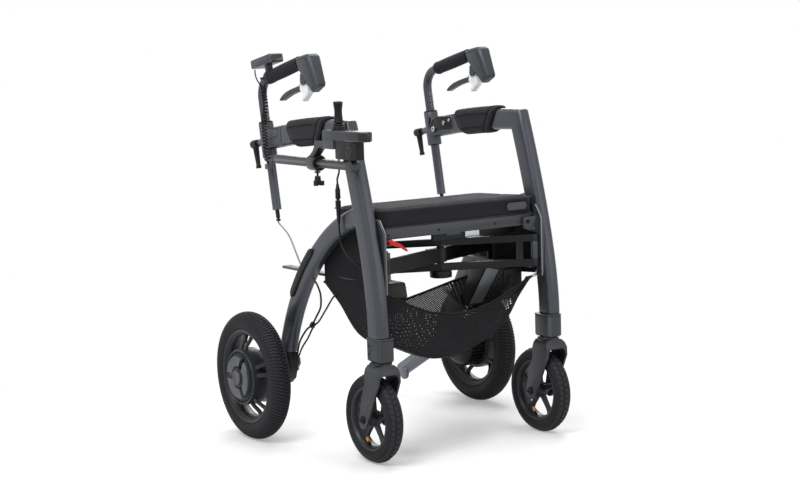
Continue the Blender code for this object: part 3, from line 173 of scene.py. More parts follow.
@dataclass(frozen=True)
class Finish:
    """One surface finish: its colour, gloss and the pattern that breaks it up."""

    name: str
    colour: str
    second: str
    roughness: float
    metallic: float = 0.0
    scale_mm: float = 1.0
    bump: float = 0.1
    pattern: Pattern = Pattern.GRAIN
    # How far raised edges are lightened, as wear and as painted highlight
    wear: float = 0.0
    coat: float = 0.0
    sheen: float = 0.0

    def material(self) -> bpy.types.Material:
        """Build the finish's material, or return it where it is built already."""
        known = bpy.data.materials.get(self.name)
        if known:
            return known
        made = bpy.data.materials.new(self.name)
        made.use_nodes = True
        tree = made.node_tree
        shader = tree.nodes["Principled BSDF"]
        place = add(tree, "TexCoord").outputs
        spot = place["UV" if self.pattern is Pattern.NET else "Object"]
        height, share = self.surface(tree, spot)
        cloud = add(
            tree, "TexNoise", {"Vector": place["Object"], "Scale": 14.0, "Detail": 3.0,
            "Roughness": 0.6})
        blotch = add(tree, "Math", {0: cloud, 1: 0.5}, operation="MULTIPLY")
        mixing = add(tree, "Math", {0: blotch, 1: share}, operation="ADD", use_clamp=True)
        base = add(
            tree, "Mix", {0: mixing, 6: linear(self.colour), 7: linear(self.second)},
            data_type="RGBA")
        colour = base.outputs[2]
        # Raised edges lightened: partly wear, partly painted highlight
        if self.wear:
            colour = self.worn(tree, colour)
        gloss = add(
            tree, "MapRange", {0: cloud, 1: 0.3, 2: 0.7, 3: self.roughness - 0.05,
            4: self.roughness + 0.06})
        relief = add(
            tree, "Bump", {"Height": height, "Strength": self.bump,
            "Distance": self.scale_mm / 2000})
        fed(
            tree, shader, {"Base Color": colour, "Metallic": self.metallic, "Roughness": gloss,
            "Normal": relief, "Coat Weight": self.coat, "Coat Roughness": 0.12,
            "Sheen Weight": self.sheen, "Sheen Roughness": 0.45})
        if not self.metallic:
            fed(tree, shader, {"IOR": 1.5, "Specular IOR Level": 0.22})
        if self.pattern is Pattern.NET:
            cells = self.cells(tree, spot)
            fed(tree, shader, {"Alpha": add(tree, "MapRange", {0: cells, 1: 0.18, 2: 0.27})})
        return made

    def surface(self, tree: Tree, spot: Socket) -> tuple[Node, Node]:
        """Lay out the fine pattern.

        Args:
            tree: the material's node tree.
            spot: the coordinates that the pattern reads.

        Returns:
            Nodes that give the height and the share of the second colour.
        """
        per_metre = 1000 / self.scale_mm
        if self.pattern is Pattern.WEAVE:
            waves = []
            for way in ((1.0, 0.0, 0.85), (0.0, 1.0, 0.85)):
                along = add(tree, "VectorMath", {0: spot, 1: way}, operation="DOT_PRODUCT")
                phase = add(
                    tree, "Math", {0: along.outputs["Value"], 1: 2 * pi * per_metre},
                    operation="MULTIPLY")
                waves.append(add(tree, "Math", {0: phase}, operation="SINE"))
            woven = add(tree, "Math", {0: waves[0], 1: waves[1]}, operation="MULTIPLY")
            return woven, add(tree, "MapRange", {0: woven, 1: -1.0, 2: 1.0, 3: 0.0, 4: 0.45})
        if self.pattern is Pattern.NET:
            cells = self.cells(tree, spot)
            return cells, add(tree, "Math", {0: cells, 1: 0.5}, operation="MULTIPLY")
        if self.pattern is Pattern.BRUSHED:
            way = add(tree, "Mapping", {0: spot, 3: (1.0, 0.03, 1.0)})
            lines = add(tree, "TexNoise", {"Vector": way, "Scale": per_metre, "Detail": 2.0})
            return lines, add(tree, "Math", {0: lines, 1: 0.5}, operation="MULTIPLY")
        if self.pattern is Pattern.FLAKE:
            flakes = add(tree, "TexVoronoi", {"Vector": spot, "Scale": per_metre})
            shine = add(tree, "SeparateColor", {0: flakes.outputs["Color"]})
            peel = add(tree, "TexNoise", {"Vector": spot, "Scale": 260.0, "Detail": 2.0})
            return peel, add(tree, "Math", {0: shine, 1: 0.35}, operation="MULTIPLY")
        grain = add(
            tree, "TexNoise", {"Vector": spot, "Scale": per_metre, "Detail": 4.0,
            "Roughness": 0.65})
        return grain, add(tree, "Math", {0: grain, 1: 0.4}, operation="MULTIPLY")

    def worn(self, tree: Tree, colour: Socket) -> Socket:
        """Lighten raised edges: wear where hands and shoes rub the surface, and a painted
        highlight where edges catch the light.
        """
        edge = add(tree, "NewGeometry").outputs["Pointiness"]
        rubbed_and_lit = add(tree, "MapRange", {0: edge, 1: 0.52, 2: 0.62, 3: 0.0, 4: self.wear})
        light = add(tree, "Mix", {0: rubbed_and_lit, 6: colour, 7: linear("8B9099")}, data_type="RGBA")
        return light.outputs[2]

    def cells(self, tree: Tree, spot: Socket) -> Node:
        """The net's regular cells, which give its relief and its holes."""
        return add(
            tree, "TexVoronoi", {"Vector": spot, "Scale": 1000 / self.scale_mm / 1.4,
            "Randomness": 0.0}, voronoi_dimensions="2D")


# Satin charcoal paint with a fine metal flake, sprayed on bent aluminium tube
PAINT = Finish(
    "satin_metallic_paint", "2E3037", "4A4D55", 0.3, 0.4, 0.7, 0.05, Pattern.FLAKE, wear=0.18,
    coat=0.12)
# The same paint over sand-cast alloy: the skin under it stays grainy
CAST = Finish("painted_cast_alloy", "33363C", "4D5057", 0.42, 0.3, 1.6, 0.3, wear=0.22)
# Satin dark coat on forged alloy: smoother than the castings
SATIN = Finish("satin_coated_forging", "15161A", "26282C", 0.4, 0.15, 0.9, 0.12, wear=0.18)
# Black powder coat on folded steel: a fine leathery skin
POWDER = Finish("black_powder_coat", "090A0B", "151619", 0.42, 0.0, 0.9, 0.25, wear=0.08)
# Grey powder coat on the seat rails and the hinge plates
GREY_COAT = Finish("grey_powder_coat", "1E2023", "313337", 0.42, 0.1, 0.9, 0.22, wear=0.12)
# Satin anodised aluminium bar, brushed along its length
ANODISED = Finish(
    "brushed_anodised_aluminium", "4A4D52", "6C7076", 0.34, 0.45, 0.5, 0.1, Pattern.BRUSHED)
# Bare bright metal of the latch under the seat
SILVER = Finish("bright_pressed_steel", "C8CACC", "E6E7E8", 0.3, 0.6, 0.4, 0.08, Pattern.BRUSHED)
# Moulded black nylon with a spark-eroded texture
NYLON = Finish("moulded_black_nylon", "050506", "0E0F10", 0.4, 0.0, 0.8, 0.28, wear=0.05)
# Dark moulded nylon of the wheel rims: a little lighter and glossier than the tyres
RIM = Finish("moulded_wheel_nylon", "17181B", "2A2B30", 0.36, 0.0, 0.9, 0.15, wear=0.1)
# Blue-grey moulded cover of the hub motors
HUB_COVER = Finish("moulded_blue_grey_cover", "26282C", "3A3D43", 0.34, 0.1, 0.8, 0.12, wear=0.15)
# Moulded dark grey ABS, finely textured
ABS = Finish("moulded_grey_abs", "2B2D31", "404348", 0.4, 0.0, 0.7, 0.2, wear=0.12)
# The display's case: the same plastic, paler where its bevels catch the light
DISPLAY = Finish("pale_grey_display_case", "26282C", "3E4146", 0.28, 0.0, 0.7, 0.15, wear=0.35)
# Polished black ABS round the joystick's nose and over the display
GLOSS = Finish("polished_black_abs", "030304", "08090A", 0.2, 0.0, 6.0, 0.02, coat=0.5)
OLIVE = Finish("moulded_olive_nylon", "1F1F1A", "33332C", 0.48, 0.0, 0.9, 0.3)
STRIPE = Finish("moulded_silver_grey_abs", "74787B", "94989B", 0.4, 0.1, 0.8, 0.15)
RED = Finish("glossy_red_acetal", "B01014", "DC1A1A", 0.28, 0.0, 2.0, 0.05, coat=0.3)
YELLOW = Finish("yellow_paint_mark", "D8B21C", "E8CC48", 0.45, 0.0, 1.0, 0.1)
# Clear polycarbonate root of the brake lever, frosted white in daylight
FROSTED = Finish("frosted_polycarbonate", "DCDFE1", "F2F3F4", 0.32, 0.0, 1.5, 0.08)
# Closed-cell foam grip: very matt with fine pores
FOAM = Finish("closed_cell_foam_grip", "15161A", "24262B", 0.82, 0.0, 0.8, 0.55)
# Vulcanised tyre rubber with mould dust in its pores
TYRE = Finish("vulcanised_tyre_rubber", "0E0E10", "1F1F22", 0.66, 0.0, 2.0, 0.3, wear=0.05)
CABLE = Finish("cable_pvc_sheath", "0A0A0B", "161617", 0.45, 0.0, 1.2, 0.1)
GREY_CABLE = Finish("grey_cable_sheath", "7E8183", "A0A3A5", 0.4, 0.0, 1.2, 0.1)
ZINC = Finish("zinc_plated_screw", "8C8E90", "C4C6C8", 0.3, 0.95, 0.6, 0.1)
BLACK_SCREW = Finish("black_oxide_screw", "08080A", "17171A", 0.38, 0.6, 0.6, 0.1)
AMBER = Finish("amber_acetal_cap", "B97813", "E2A43A", 0.35, 0.0, 1.0, 0.05)
# Light edging along the hinge plate's rim
STRIP = Finish("light_grey_edge_strip", "7C7F82", "A2A5A8", 0.4, 0.3, 0.8, 0.1)
# Small blank plate on the seat's front
BADGE = Finish("blank_grey_badge", "2C2D31", "45474C", 0.35, 0.1, 0.9, 0.08)
# Tight polyester weave over foam, threads drawn at 1.7 mm so that they show
WEAVE = Finish(
    "woven_polyester_cover", "111114", "242429", 0.86, 0.0, 1.7, 0.3, Pattern.WEAVE, sheen=0.1)
# Close-woven cloth that closes the side frames, nearly black
PANEL = Finish("close_woven_side_cloth", "0A0A0D", "17171B", 0.86, 0.0, 2.4, 0.35, Pattern.WEAVE)
# Rolled piping of the same cloth, coloured lighter as a painted highlight, since it catches more
# light
PIPING = Finish(
    "rolled_cloth_piping", "1B1B1F", "303036", 0.66, 0.0, 1.2, 0.25, Pattern.WEAVE, sheen=0.12)
WEBBING = Finish("black_edge_binding", "08080A", "161618", 0.8, 0.0, 1.2, 0.35, Pattern.WEAVE)
# Spun thread of the seams
THREAD = Finish("spun_polyester_thread", "2A2A2E", "404046", 0.6, 0.0, 0.5, 0.2)
# Knitted polyester net, its holes 5.5 mm apart, nearly black where it hangs double
NET = Finish("knitted_polyester_net", "0B0B0D", "1C1C20", 0.75, 0.0, 3.9, 0.3, Pattern.NET)


# Meshes

def mm(*rows: Point) -> list[tuple[float, ...]]:
    """Turn rows of millimetres into metres."""
    return [tuple(round(value / 1000, 7) for value in row) for row in rows]


def placed(name: str, data: bpy.types.ID) -> Piece:
    """Put a new object with this data into the scene."""
    made = bpy.data.objects.new(name, data)
    bpy.context.scene.collection.objects.link(made)
    return made


def mesh_object(name: str, points: Iterable[Point], faces: Iterable[Sequence[int]], finish: Finish,
        uvs: dict[int, tuple[float, float]] | None = None, angle: float = 35.0) -> Piece:
    """Make a smooth-shaded mesh object with sharp edges past an angle.

    Args:
        name: the object's name.
        points: its corners in metres.
        faces: corner indices of each face.
        finish: the surface finish.
        uvs: place on the cloth of each corner, in metres, where the finish needs one.
        angle: the angle in degrees past which an edge stays sharp.

    Returns:
        The new object, linked to the scene.
    """
    mesh = bpy.data.meshes.new(name)
    mesh.from_pydata([tuple(p) for p in points], [], [tuple(f) for f in faces])
    mesh.materials.append(finish.material())
    if uvs:
        layer = mesh.uv_layers.new(name="cloth")
        for loop in mesh.loops:
            layer.data[loop.index].uv = uvs[loop.vertex_index]
    made = placed(name, mesh)
    shade(made, angle)
    return made


def shade(piece: Piece, angle: float = 35.0) -> None:
    """Shade a mesh smooth, with edges past an angle kept sharp."""
    piece.data.shade_smooth()
    piece.data.set_sharp_from_angle(angle=radians(angle))


def baked(piece: Piece) -> Piece:
    """Apply a piece's modifiers to its mesh."""
    graph = bpy.context.evaluated_depsgraph_get()
    plain = bpy.data.meshes.new_from_object(piece.evaluated_get(graph))
    piece.modifiers.clear()
    piece.data = plain
    return piece


def rounded(piece: Piece, width: float, segments: int = 2, angle: float = 40.0) -> Piece:
    """Bevel the sharp edges of a piece and bake the result."""
    step = piece.modifiers.new("edges", "BEVEL")
    step.width = width
    step.segments = segments
    step.limit_method = "ANGLE"
    step.angle_limit = radians(angle)
    step.harden_normals = False
    step.use_clamp_overlap = True
    baked(piece)
    shade(piece, 50.0)
    return piece


def subdivided(piece: Piece) -> Piece:
    """Round a piece by one subdivision and bake the result."""
    step = piece.modifiers.new("round", "SUBSURF")
    step.levels = step.render_levels = 1
    return baked(piece)


def joined(name: str, parts: Sequence[Piece]) -> Piece:
    """Put several meshes into one object, each with its own material kept."""
    base = parts[0]
    shape = bmesh.new()
    shape.loops.layers.uv.new("cloth")
    materials: list[bpy.types.Material] = []
    for part in parts:
        start = len(shape.faces)
        shape.from_mesh(part.data)
        shape.faces.ensure_lookup_table()
        slots = []
        for material in part.data.materials:
            if material not in materials:
                materials.append(material)
            slots.append(materials.index(material))
        for i in range(start, len(shape.faces)):
            shape.faces[i].material_index = slots[shape.faces[i].material_index]
    mesh = bpy.data.meshes.new(name)
    shape.to_mesh(mesh)
    shape.free()
    for material in materials:
        mesh.materials.append(material)
    base.data = mesh
    base.name = name
    for part in parts[1:]:
        bpy.data.objects.remove(part)
    return base


def loft(name: str, rings: Sequence[Ring], finish: Finish, closed: bool = False,
        angle: float = 35.0, cloth: bool = False) -> Piece:
    """Skin a row of equal rings.

    Args:
        name: the object's name.
        rings: rings of the same number of points.
        finish: the surface finish.
        closed: join the last ring to the first, instead of a face on each end.
        angle: the angle in degrees past which an edge stays sharp.
        cloth: give the corners their place on the cloth, in metres.

    Returns:
        The skin as an object.
    """
    count = len(rings[0])
    faces = []
    rows = len(rings) if closed else len(rings) - 1
    for i in range(rows):
        low, high = i * count, (i + 1) % len(rings) * count
        for k in range(count):
            after = (k + 1) % count
            faces.append((low + k, low + after, high + after, high + k))
    if not closed:
        faces.append(tuple(reversed(range(count))))
        last = (len(rings) - 1) * count
        faces.append(tuple(range(last, last + count)))
    uvs = ring_places(rings) if cloth else None
    return turned(mesh_object(name, chain.from_iterable(rings), faces, finish, uvs, angle))


def turned(piece: Piece) -> Piece:
    """Turn a mesh's faces outwards and leave its corners alone."""
    shape = bmesh.new()
    shape.from_mesh(piece.data)
    bmesh.ops.recalc_face_normals(shape, faces=shape.faces)
    shape.to_mesh(piece.data)
    shape.free()
    return piece


def ring_places(rings: Sequence[Ring]) -> dict[int, tuple[float, float]]:
    """Lengths round and along a row of rings, for cloth patterns."""
    found: dict[int, tuple[float, float]] = {}
    count = len(rings[0])
    along = 0.0
    for i, ring in enumerate(rings):
        if i:
            along += sum((ring[k] - rings[i - 1][k]).length for k in range(count)) / count
        steps = [(ring[k] - ring[k - 1]).length for k in range(count)]
        around = 0.0
        for k in range(count):
            if k:
                around += steps[k]
            found[i * count + k] = (min(around, sum(steps) - around), along)
    return found


def round_section(half_wide: float, half_deep: float, corner: float, steps: int = 6) -> Outline:
    """A rectangle with round corners, as (across, along) points."""
    points = []
    for quarter in range(4):
        sign_a = (1, -1, -1, 1)[quarter]
        sign_b = (1, 1, -1, -1)[quarter]
        for i in range(steps + 1):
            turn = pi / 2 * (quarter + i / steps)
            points.append((
                sign_a * (half_wide - corner) + corner * cos(turn),
                sign_b * (half_deep - corner) + corner * sin(turn)))
    return points


def circle(radius: float, sides: int) -> Outline:
    """A regular polygon on a radius."""
    turns = [2 * pi * i / sides for i in range(sides)]
    return [(radius * cos(t), radius * sin(t)) for t in turns]


def square_to(way: Point) -> tuple[Vector, Vector]:
    """Two directions square to a way."""
    way = Vector(way).normalized()
    helper = Vector((0, 0, 1)) if abs(way.z) < 0.9 else Vector((1, 0, 0))
    across = way.cross(helper).normalized()
    return across, way.cross(across).normalized()


def lathe(name: str, profile: Sequence[Point], centre: Point, way: Point, finish: Finish,
        sides: int = 48, closed: bool = False, angle: float = 35.0) -> Piece:
    """Turn (along, radius) points about an axis; closed makes a ring with a bore."""
    way = Vector(way).normalized()
    across, up = square_to(way)
    rings = [
        [Vector(centre) + way * along + across * a + up * b for a, b in circle(radius, sides)]
        for along, radius in profile]
    return loft(name, rings, finish, closed, angle=angle)


def rod(name: str, start: Point, end: Point, radius: float, finish: Finish, sides: int,
        soften: float = 0.0) -> Piece:
    """A round bar between two points, its ends softened."""
    length = (Vector(end) - Vector(start)).length
    profile = [(0.0, radius), (length, radius)]
    if soften:
        profile = [
            (0.0, radius - soften), (soften * 0.4, radius - soften * 0.4), (soften, radius),
            (length - soften, radius), (length - soften * 0.4, radius - soften * 0.4),
            (length, radius - soften)]
    return lathe(name, profile, start, Vector(end) - Vector(start), finish, sides)


def slab(name: str, outline: Sequence[Point], axis: str, low: float, high: float, finish: Finish,
        soften: float = 0.0, segments: int = 3) -> Piece:
    """Push an outline along an axis and round its edges."""
    low, high = min(low, high), max(low, high)
    rings = [
        [Vector({"x": (level, p[0], p[1]), "y": (p[0], level, p[1]),
        "z": (p[0], p[1], level)}[axis]) for p in outline] for level in (low, high)]
    made = loft(name, rings, finish, angle=30.0)
    return rounded(made, soften, segments, 25.0) if soften else made


def box(name: str, low: Point, high: Point, finish: Finish, soften: float = 0.001) -> Piece:
    """A box with round edges between two corners."""
    outline = [(low[0], low[1]), (high[0], low[1]), (high[0], high[1]), (low[0], high[1])]
    return slab(name, outline, "z", low[2], high[2], finish, soften)


def sweep(path: Sequence[Vector], section: Sequence[Point], x: float,
        leans: Sequence[float] = ()) -> list[Ring]:
    """Carry a section along a path in a side plane.

    Args:
        path: (y, z) points of the centre line.
        section: (across, up) points of the outline.
        x: the side plane.
        leans: how far each ring leans along the path, where it isn't square to it.

    Returns:
        One ring for each point of the path.
    """
    rings = []
    for i, spot in enumerate(path):
        before = (spot - path[i - 1]).normalized() if i else None
        after = (path[i + 1] - spot).normalized() if i + 1 < len(path) else None
        way = ((before or after) + (after or before)).normalized()
        cross = Vector((-way.y, way.x)) / max(0.5, way.dot(after or before))
        if leans:
            cross = cross + way * leans[i]
        rings.append([
            Vector((x + a, spot.x + cross.x * b, spot.y + cross.y * b)) for a, b in section])
    return rings


def tube_along(name: str, points: Sequence[Vector], radius: float, finish: Finish,
        sides: int = 8) -> Piece:
    """A round tube through points in space, turned so that it doesn't twist."""
    rings = []
    across, _ = square_to(points[1] - points[0])
    for i, spot in enumerate(points):
        way = (points[min(i + 1, len(points) - 1)] - points[max(i - 1, 0)]).normalized()
        across = (across - way * across.dot(way)).normalized()
        up = way.cross(across)
        rings.append([spot + across * a + up * b for a, b in circle(radius, sides)])
    return loft(name, rings, finish, angle=60.0)


def curve_at(controls: Sequence[Point], share: float) -> Vector:
    """A point of a Bezier curve of any degree."""
    row = [Vector(c) for c in controls]
    while len(row) > 1:
        row = [row[i].lerp(row[i + 1], share) for i in range(len(row) - 1)]
    return row[0]


def curve_way(controls: Sequence[Point], share: float) -> Vector:
    """The unit direction of a Bezier curve."""
    step = 0.001
    return (curve_at(controls, share + step) - curve_at(controls, share - step)).normalized()


def stretch(controls: Sequence[Point], start: float, end: float, steps: int) -> list[Vector]:
    """Points along part of a Bezier curve."""
    return [curve_at(controls, start + (end - start) * i / steps) for i in range(steps + 1)]


def bend(before: Point, corner: Point, after: Point, radius: float, steps: int) -> list[Vector]:
    """Arc points that round a corner between two directions."""
    corner = Vector(corner)
    back = (Vector(before) - corner).normalized()
    ahead = (Vector(after) - corner).normalized()
    half = back.angle(ahead) / 2
    reach = radius / tan(half)
    middle = corner + (back + ahead).normalized() * radius / sin(half)
    first = corner + back * reach - middle
    last = corner + ahead * reach - middle
    return [middle + first.lerp(last, i / steps).normalized() * radius for i in range(steps + 1)]


def smooth_line(points: Sequence[Point], steps: int) -> list[Vector]:
    """A smooth line through points, by Catmull-Rom spans."""
    spots = [Vector(p) for p in points]
    line = [spots[0]]
    for i in range(len(spots) - 1):
        p1, p2 = spots[i], spots[i + 1]
        p0 = spots[i - 1] if i else p1 * 2 - p2
        p3 = spots[i + 2] if i + 2 < len(spots) else p2 * 2 - p1
        for k in range(1, steps + 1):
            t = k / steps
            line.append(
                0.5 * (2 * p1 + (p2 - p0) * t + (2 * p0 - 5 * p1 + 4 * p2 - p3) * t * t
                + (3 * p1 - p0 - 3 * p2 + p3) * t * t * t))
    return line


# Trees that repeat a shape

class UnitTree:
    """Geometry Nodes tree that sets copies of a unit on points and gives them a finish."""

    name = ""
    sockets: tuple[tuple[str, str], ...] = ()

    def tree(self) -> Tree:
        """Build the tree once and return it."""
        known = bpy.data.node_groups.get(self.name)
        if known:
            return known
        made = bpy.data.node_groups.new(self.name, "GeometryNodeTree")
        for name, kind in (
                ("Geometry", "Geometry"), *self.sockets, ("Unit", "Object"),
                ("Finish", "Material")):
            made.interface.new_socket(name, in_out="INPUT", socket_type="NodeSocket" + kind)
        made.interface.new_socket("Geometry", in_out="OUTPUT", socket_type="NodeSocketGeometry")
        source = add(made, "NodeGroupInput").outputs
        points, turn = self.places(made, source)
        unit = add(made, "GeometryNodeObjectInfo", {"Object": source["Unit"]})
        copies = add(
            made, "GeometryNodeInstanceOnPoints",
            {"Points": points, "Instance": unit.outputs["Geometry"], "Rotation": turn})
        real = add(made, "GeometryNodeRealizeInstances", {0: copies})
        dressed = add(
            made, "GeometryNodeSetMaterial", {"Geometry": real, "Material": source["Finish"]})
        add(made, "NodeGroupOutput", {0: dressed})
        return made

    def places(self, made: Tree, source: bpy.types.NodeOutputs) -> tuple[Node, Node]:
        """Points that carry the units, and each unit's turn; each kind of row has its own."""
        raise NotImplementedError


class Repeat(UnitTree):
    """A row or a ring of units, each a step and a turn from the one before."""

    name = "repeat_unit"
    sockets = (
        ("Count", "Int"), ("Start", "Vector"), ("Step", "Vector"), ("Turn", "Vector"),
        ("Lean", "Vector"))

    def places(self, made: Tree, source: bpy.types.NodeOutputs) -> tuple[Node, Node]:
        """Points at equal steps, with turns that add up."""
        index = add(made, "GeometryNodeInputIndex")
        sums = []
        for each, first in (("Step", "Start"), ("Turn", "Lean")):
            by = add(made, "VectorMath", {0: source[each], 3: index}, operation="SCALE")
            sums.append(add(made, "VectorMath", {0: source[first], 1: by}, operation="ADD"))
        points = add(made, "GeometryNodePoints", {"Count": source["Count"], "Position": sums[0]})
        return points, sums[1]


class Along(UnitTree):
    """Units along a line, such as stitches on a seam."""

    name = "units_along_line"
    sockets = (("Line", "Object"), ("Spacing", "Float"))

    def places(self, made: Tree, source: bpy.types.NodeOutputs) -> tuple[Node, Node]:
        """Points at a spacing on the line, with turns that follow it."""
        line = add(made, "GeometryNodeObjectInfo", {"Object": source["Line"]})
        curve = add(made, "GeometryNodeMeshToCurve", {0: line.outputs["Geometry"]})
        spaced = add(
            made, "GeometryNodeResampleCurve", {"Curve": curve, "Length": source["Spacing"]},
            mode="LENGTH")
        way = add(made, "GeometryNodeInputTangent")
        return spaced, add(made, "FunctionNodeAlignRotationToVector", {"Vector": way}, axis="X")


def grown(name: str, tree: Tree, values: dict[str, object], used_up: Sequence[Piece]) -> Piece:
    """Run a node tree on an empty mesh and keep its plain result.

    Args:
        name: the new object's name.
        tree: the Geometry Nodes tree.
        values: value of each of the tree's named inputs.
        used_up: source objects that are deleted afterwards.

    Returns:
        The plain mesh object.
    """
    host = placed(name, bpy.data.meshes.new(name))
    step = host.modifiers.new("grow", "NODES")
    step.node_group = tree
    for socket in tree.interface.items_tree:
        if socket.in_out == "INPUT" and socket.name in values:
            step[socket.identifier] = values[socket.name]
    baked(host)
    for source in used_up:
        bpy.data.objects.remove(source)
    shade(host)
    return host


def ringed(name: str, unit: Piece, count: int, centre: Point, finish: Finish,
        first: float = 0.0) -> Piece:
    """Repeat a unit, made about the origin, round an axis along X."""
    values = {
        "Count": count, "Start": tuple(centre), "Step": (0.0, 0.0, 0.0),
        "Turn": (2 * pi / count, 0.0, 0.0), "Lean": (first, 0.0, 0.0), "Unit": unit,
        "Finish": finish.material()}
    return grown(name, Repeat().tree(), values, [unit])


def stitched(name: str, line: Sequence[Vector], finish: Finish, spacing: float = 0.0045,
        length: float = 0.003) -> Piece:
    """Sew a row of stitches along a line."""
    path = bpy.data.meshes.new("seam")
    path.from_pydata([tuple(p) for p in line], [(i, i + 1) for i in range(len(line) - 1)], [])
    seam = placed("seam", path)
    unit = rod("stitch", (-length / 2, 0, 0), (length / 2, 0, 0), 0.0005, finish, 6, 0.0003)
    return grown(
        name, Along().tree(), {"Line": seam, "Spacing": spacing, "Unit": unit,
        "Finish": finish.material()}, [seam, unit])


# Carrying pieces

def refined(node: str, finish: Finish, width: float = 0.0012, segments: int = 2,
        angle: float = 40.0, blend: tuple = ()) -> Piece:
    """Copy a CAD node, round its edges and let the copy stand for it.

    Args:
        node: the CAD node's name.
        finish: the surface finish.
        width: width of the rounded edge, in metres.
        segments: steps of the rounding.
        angle: edges sharper than this, in degrees, are rounded.

    Returns:
        The finished copy, riding on the node's body, or baked in place where blend is given.
    """
    source = frame["nodes"][node]
    copy = placed(node + "_skin", source.data.copy())
    copy.data.materials.clear()
    copy.data.materials.append(finish.material())
    for polygon in copy.data.polygons:
        polygon.material_index = 0
    shape = bmesh.new()
    shape.from_mesh(copy.data)
    bmesh.ops.remove_doubles(shape, verts=shape.verts, dist=0.00001)
    bmesh.ops.dissolve_limit(shape, angle_limit=radians(1.0), verts=shape.verts, edges=shape.edges)
    shape.to_mesh(copy.data)
    shape.free()
    rounded(copy, width, segments, angle)
    if blend:
        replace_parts(baked(copy), node)
        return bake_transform(copy) or copy
    return carried(copy, source["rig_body"], node)


def carried(piece: Piece, body: str, *nodes: str) -> Piece:
    """Let a piece ride on a body and stand for CAD nodes."""
    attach(piece, body)
    if nodes:
        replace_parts(piece, *nodes)
    LOG.info("%s rides on %s", piece.name, body)
    return piece


# Side frames

GAP = 0.0003
SIDE_X = 0.2425
TUBE_WIDE, TUBE_DEEP, TUBE_CORNER = 0.034, 0.051, 0.012
INNER_X = SIDE_X - TUBE_WIDE / 2
LEG_WIDE, LEG_DEEP = 0.032, 0.044
ARM_CURVE = mm((160, 722), (-45, 752), (-184, 751))
FRONT_CURVE = mm((-184, 750.5), (-284.5, 446), (-284, 291.3))
REAR_CURVE = mm((-245, 563), (-60, 535), (100, 345), (135, 165))
ARM_SPLIT, REAR_END = 0.17, 0.91
POST_FOOT = (0.1533, 0.549)
POST_CORNER = (0.2105, 0.857)
GRIP_WAY = (-0.972, 0.234)
STEER_X, STEER_Y, TRAIL = 0.2385, -0.283, 0.035


def post_way() -> Vector:
    """The handle post's direction."""
    way = Vector(POST_CORNER) - Vector(POST_FOOT)
    return Vector((0.0, way.x, way.y)).normalized()


def post_spot(side: Side, z: float, back: float) -> Vector:
    """A point behind the post's axis, or before it where back is negative."""
    slope = (POST_CORNER[0] - POST_FOOT[0]) / (POST_CORNER[1] - POST_FOOT[1])
    way = post_way()
    return Vector((
        side.value * SIDE_X, POST_FOOT[0] + (z - POST_FOOT[1]) * slope + back * way.z,
        z - back * way.y))


@dataclass
class OneSide:
    """What a sub-assembly with a left and a right copy needs to know of its side."""

    side: Side
    rides: ClassVar[str] = "frame"

    @property
    def tag(self) -> str:
        """The side's word in names."""
        return self.side.tag

    @property
    def hand(self) -> int:
        """The sign of the side's X."""
        return self.side.value

    @property
    def x(self) -> float:
        """The centre plane of the side's frame."""
        return self.hand * SIDE_X

    @property
    def body(self) -> str:
        """The body that most of its pieces ride on."""
        return f"{self.rides}_{self.tag}"

    def carry(self, name: str, parts: Sequence[Piece], *nodes: str, body: str = "") -> Piece:
        """Join parts into one piece that rides on this side.

        Args:
            name: the piece's name without its side.
            parts: the meshes to join.
            nodes: names of the CAD nodes that it stands for, without their side.
            body: the body's name without its side, where it isn't the usual one.

        Returns:
            The joined piece.
        """
        return carried(
            joined(f"{name}_{self.tag}", parts), f"{body or self.rides}_{self.tag}",
            *(f"{node}_{self.tag}" for node in nodes))


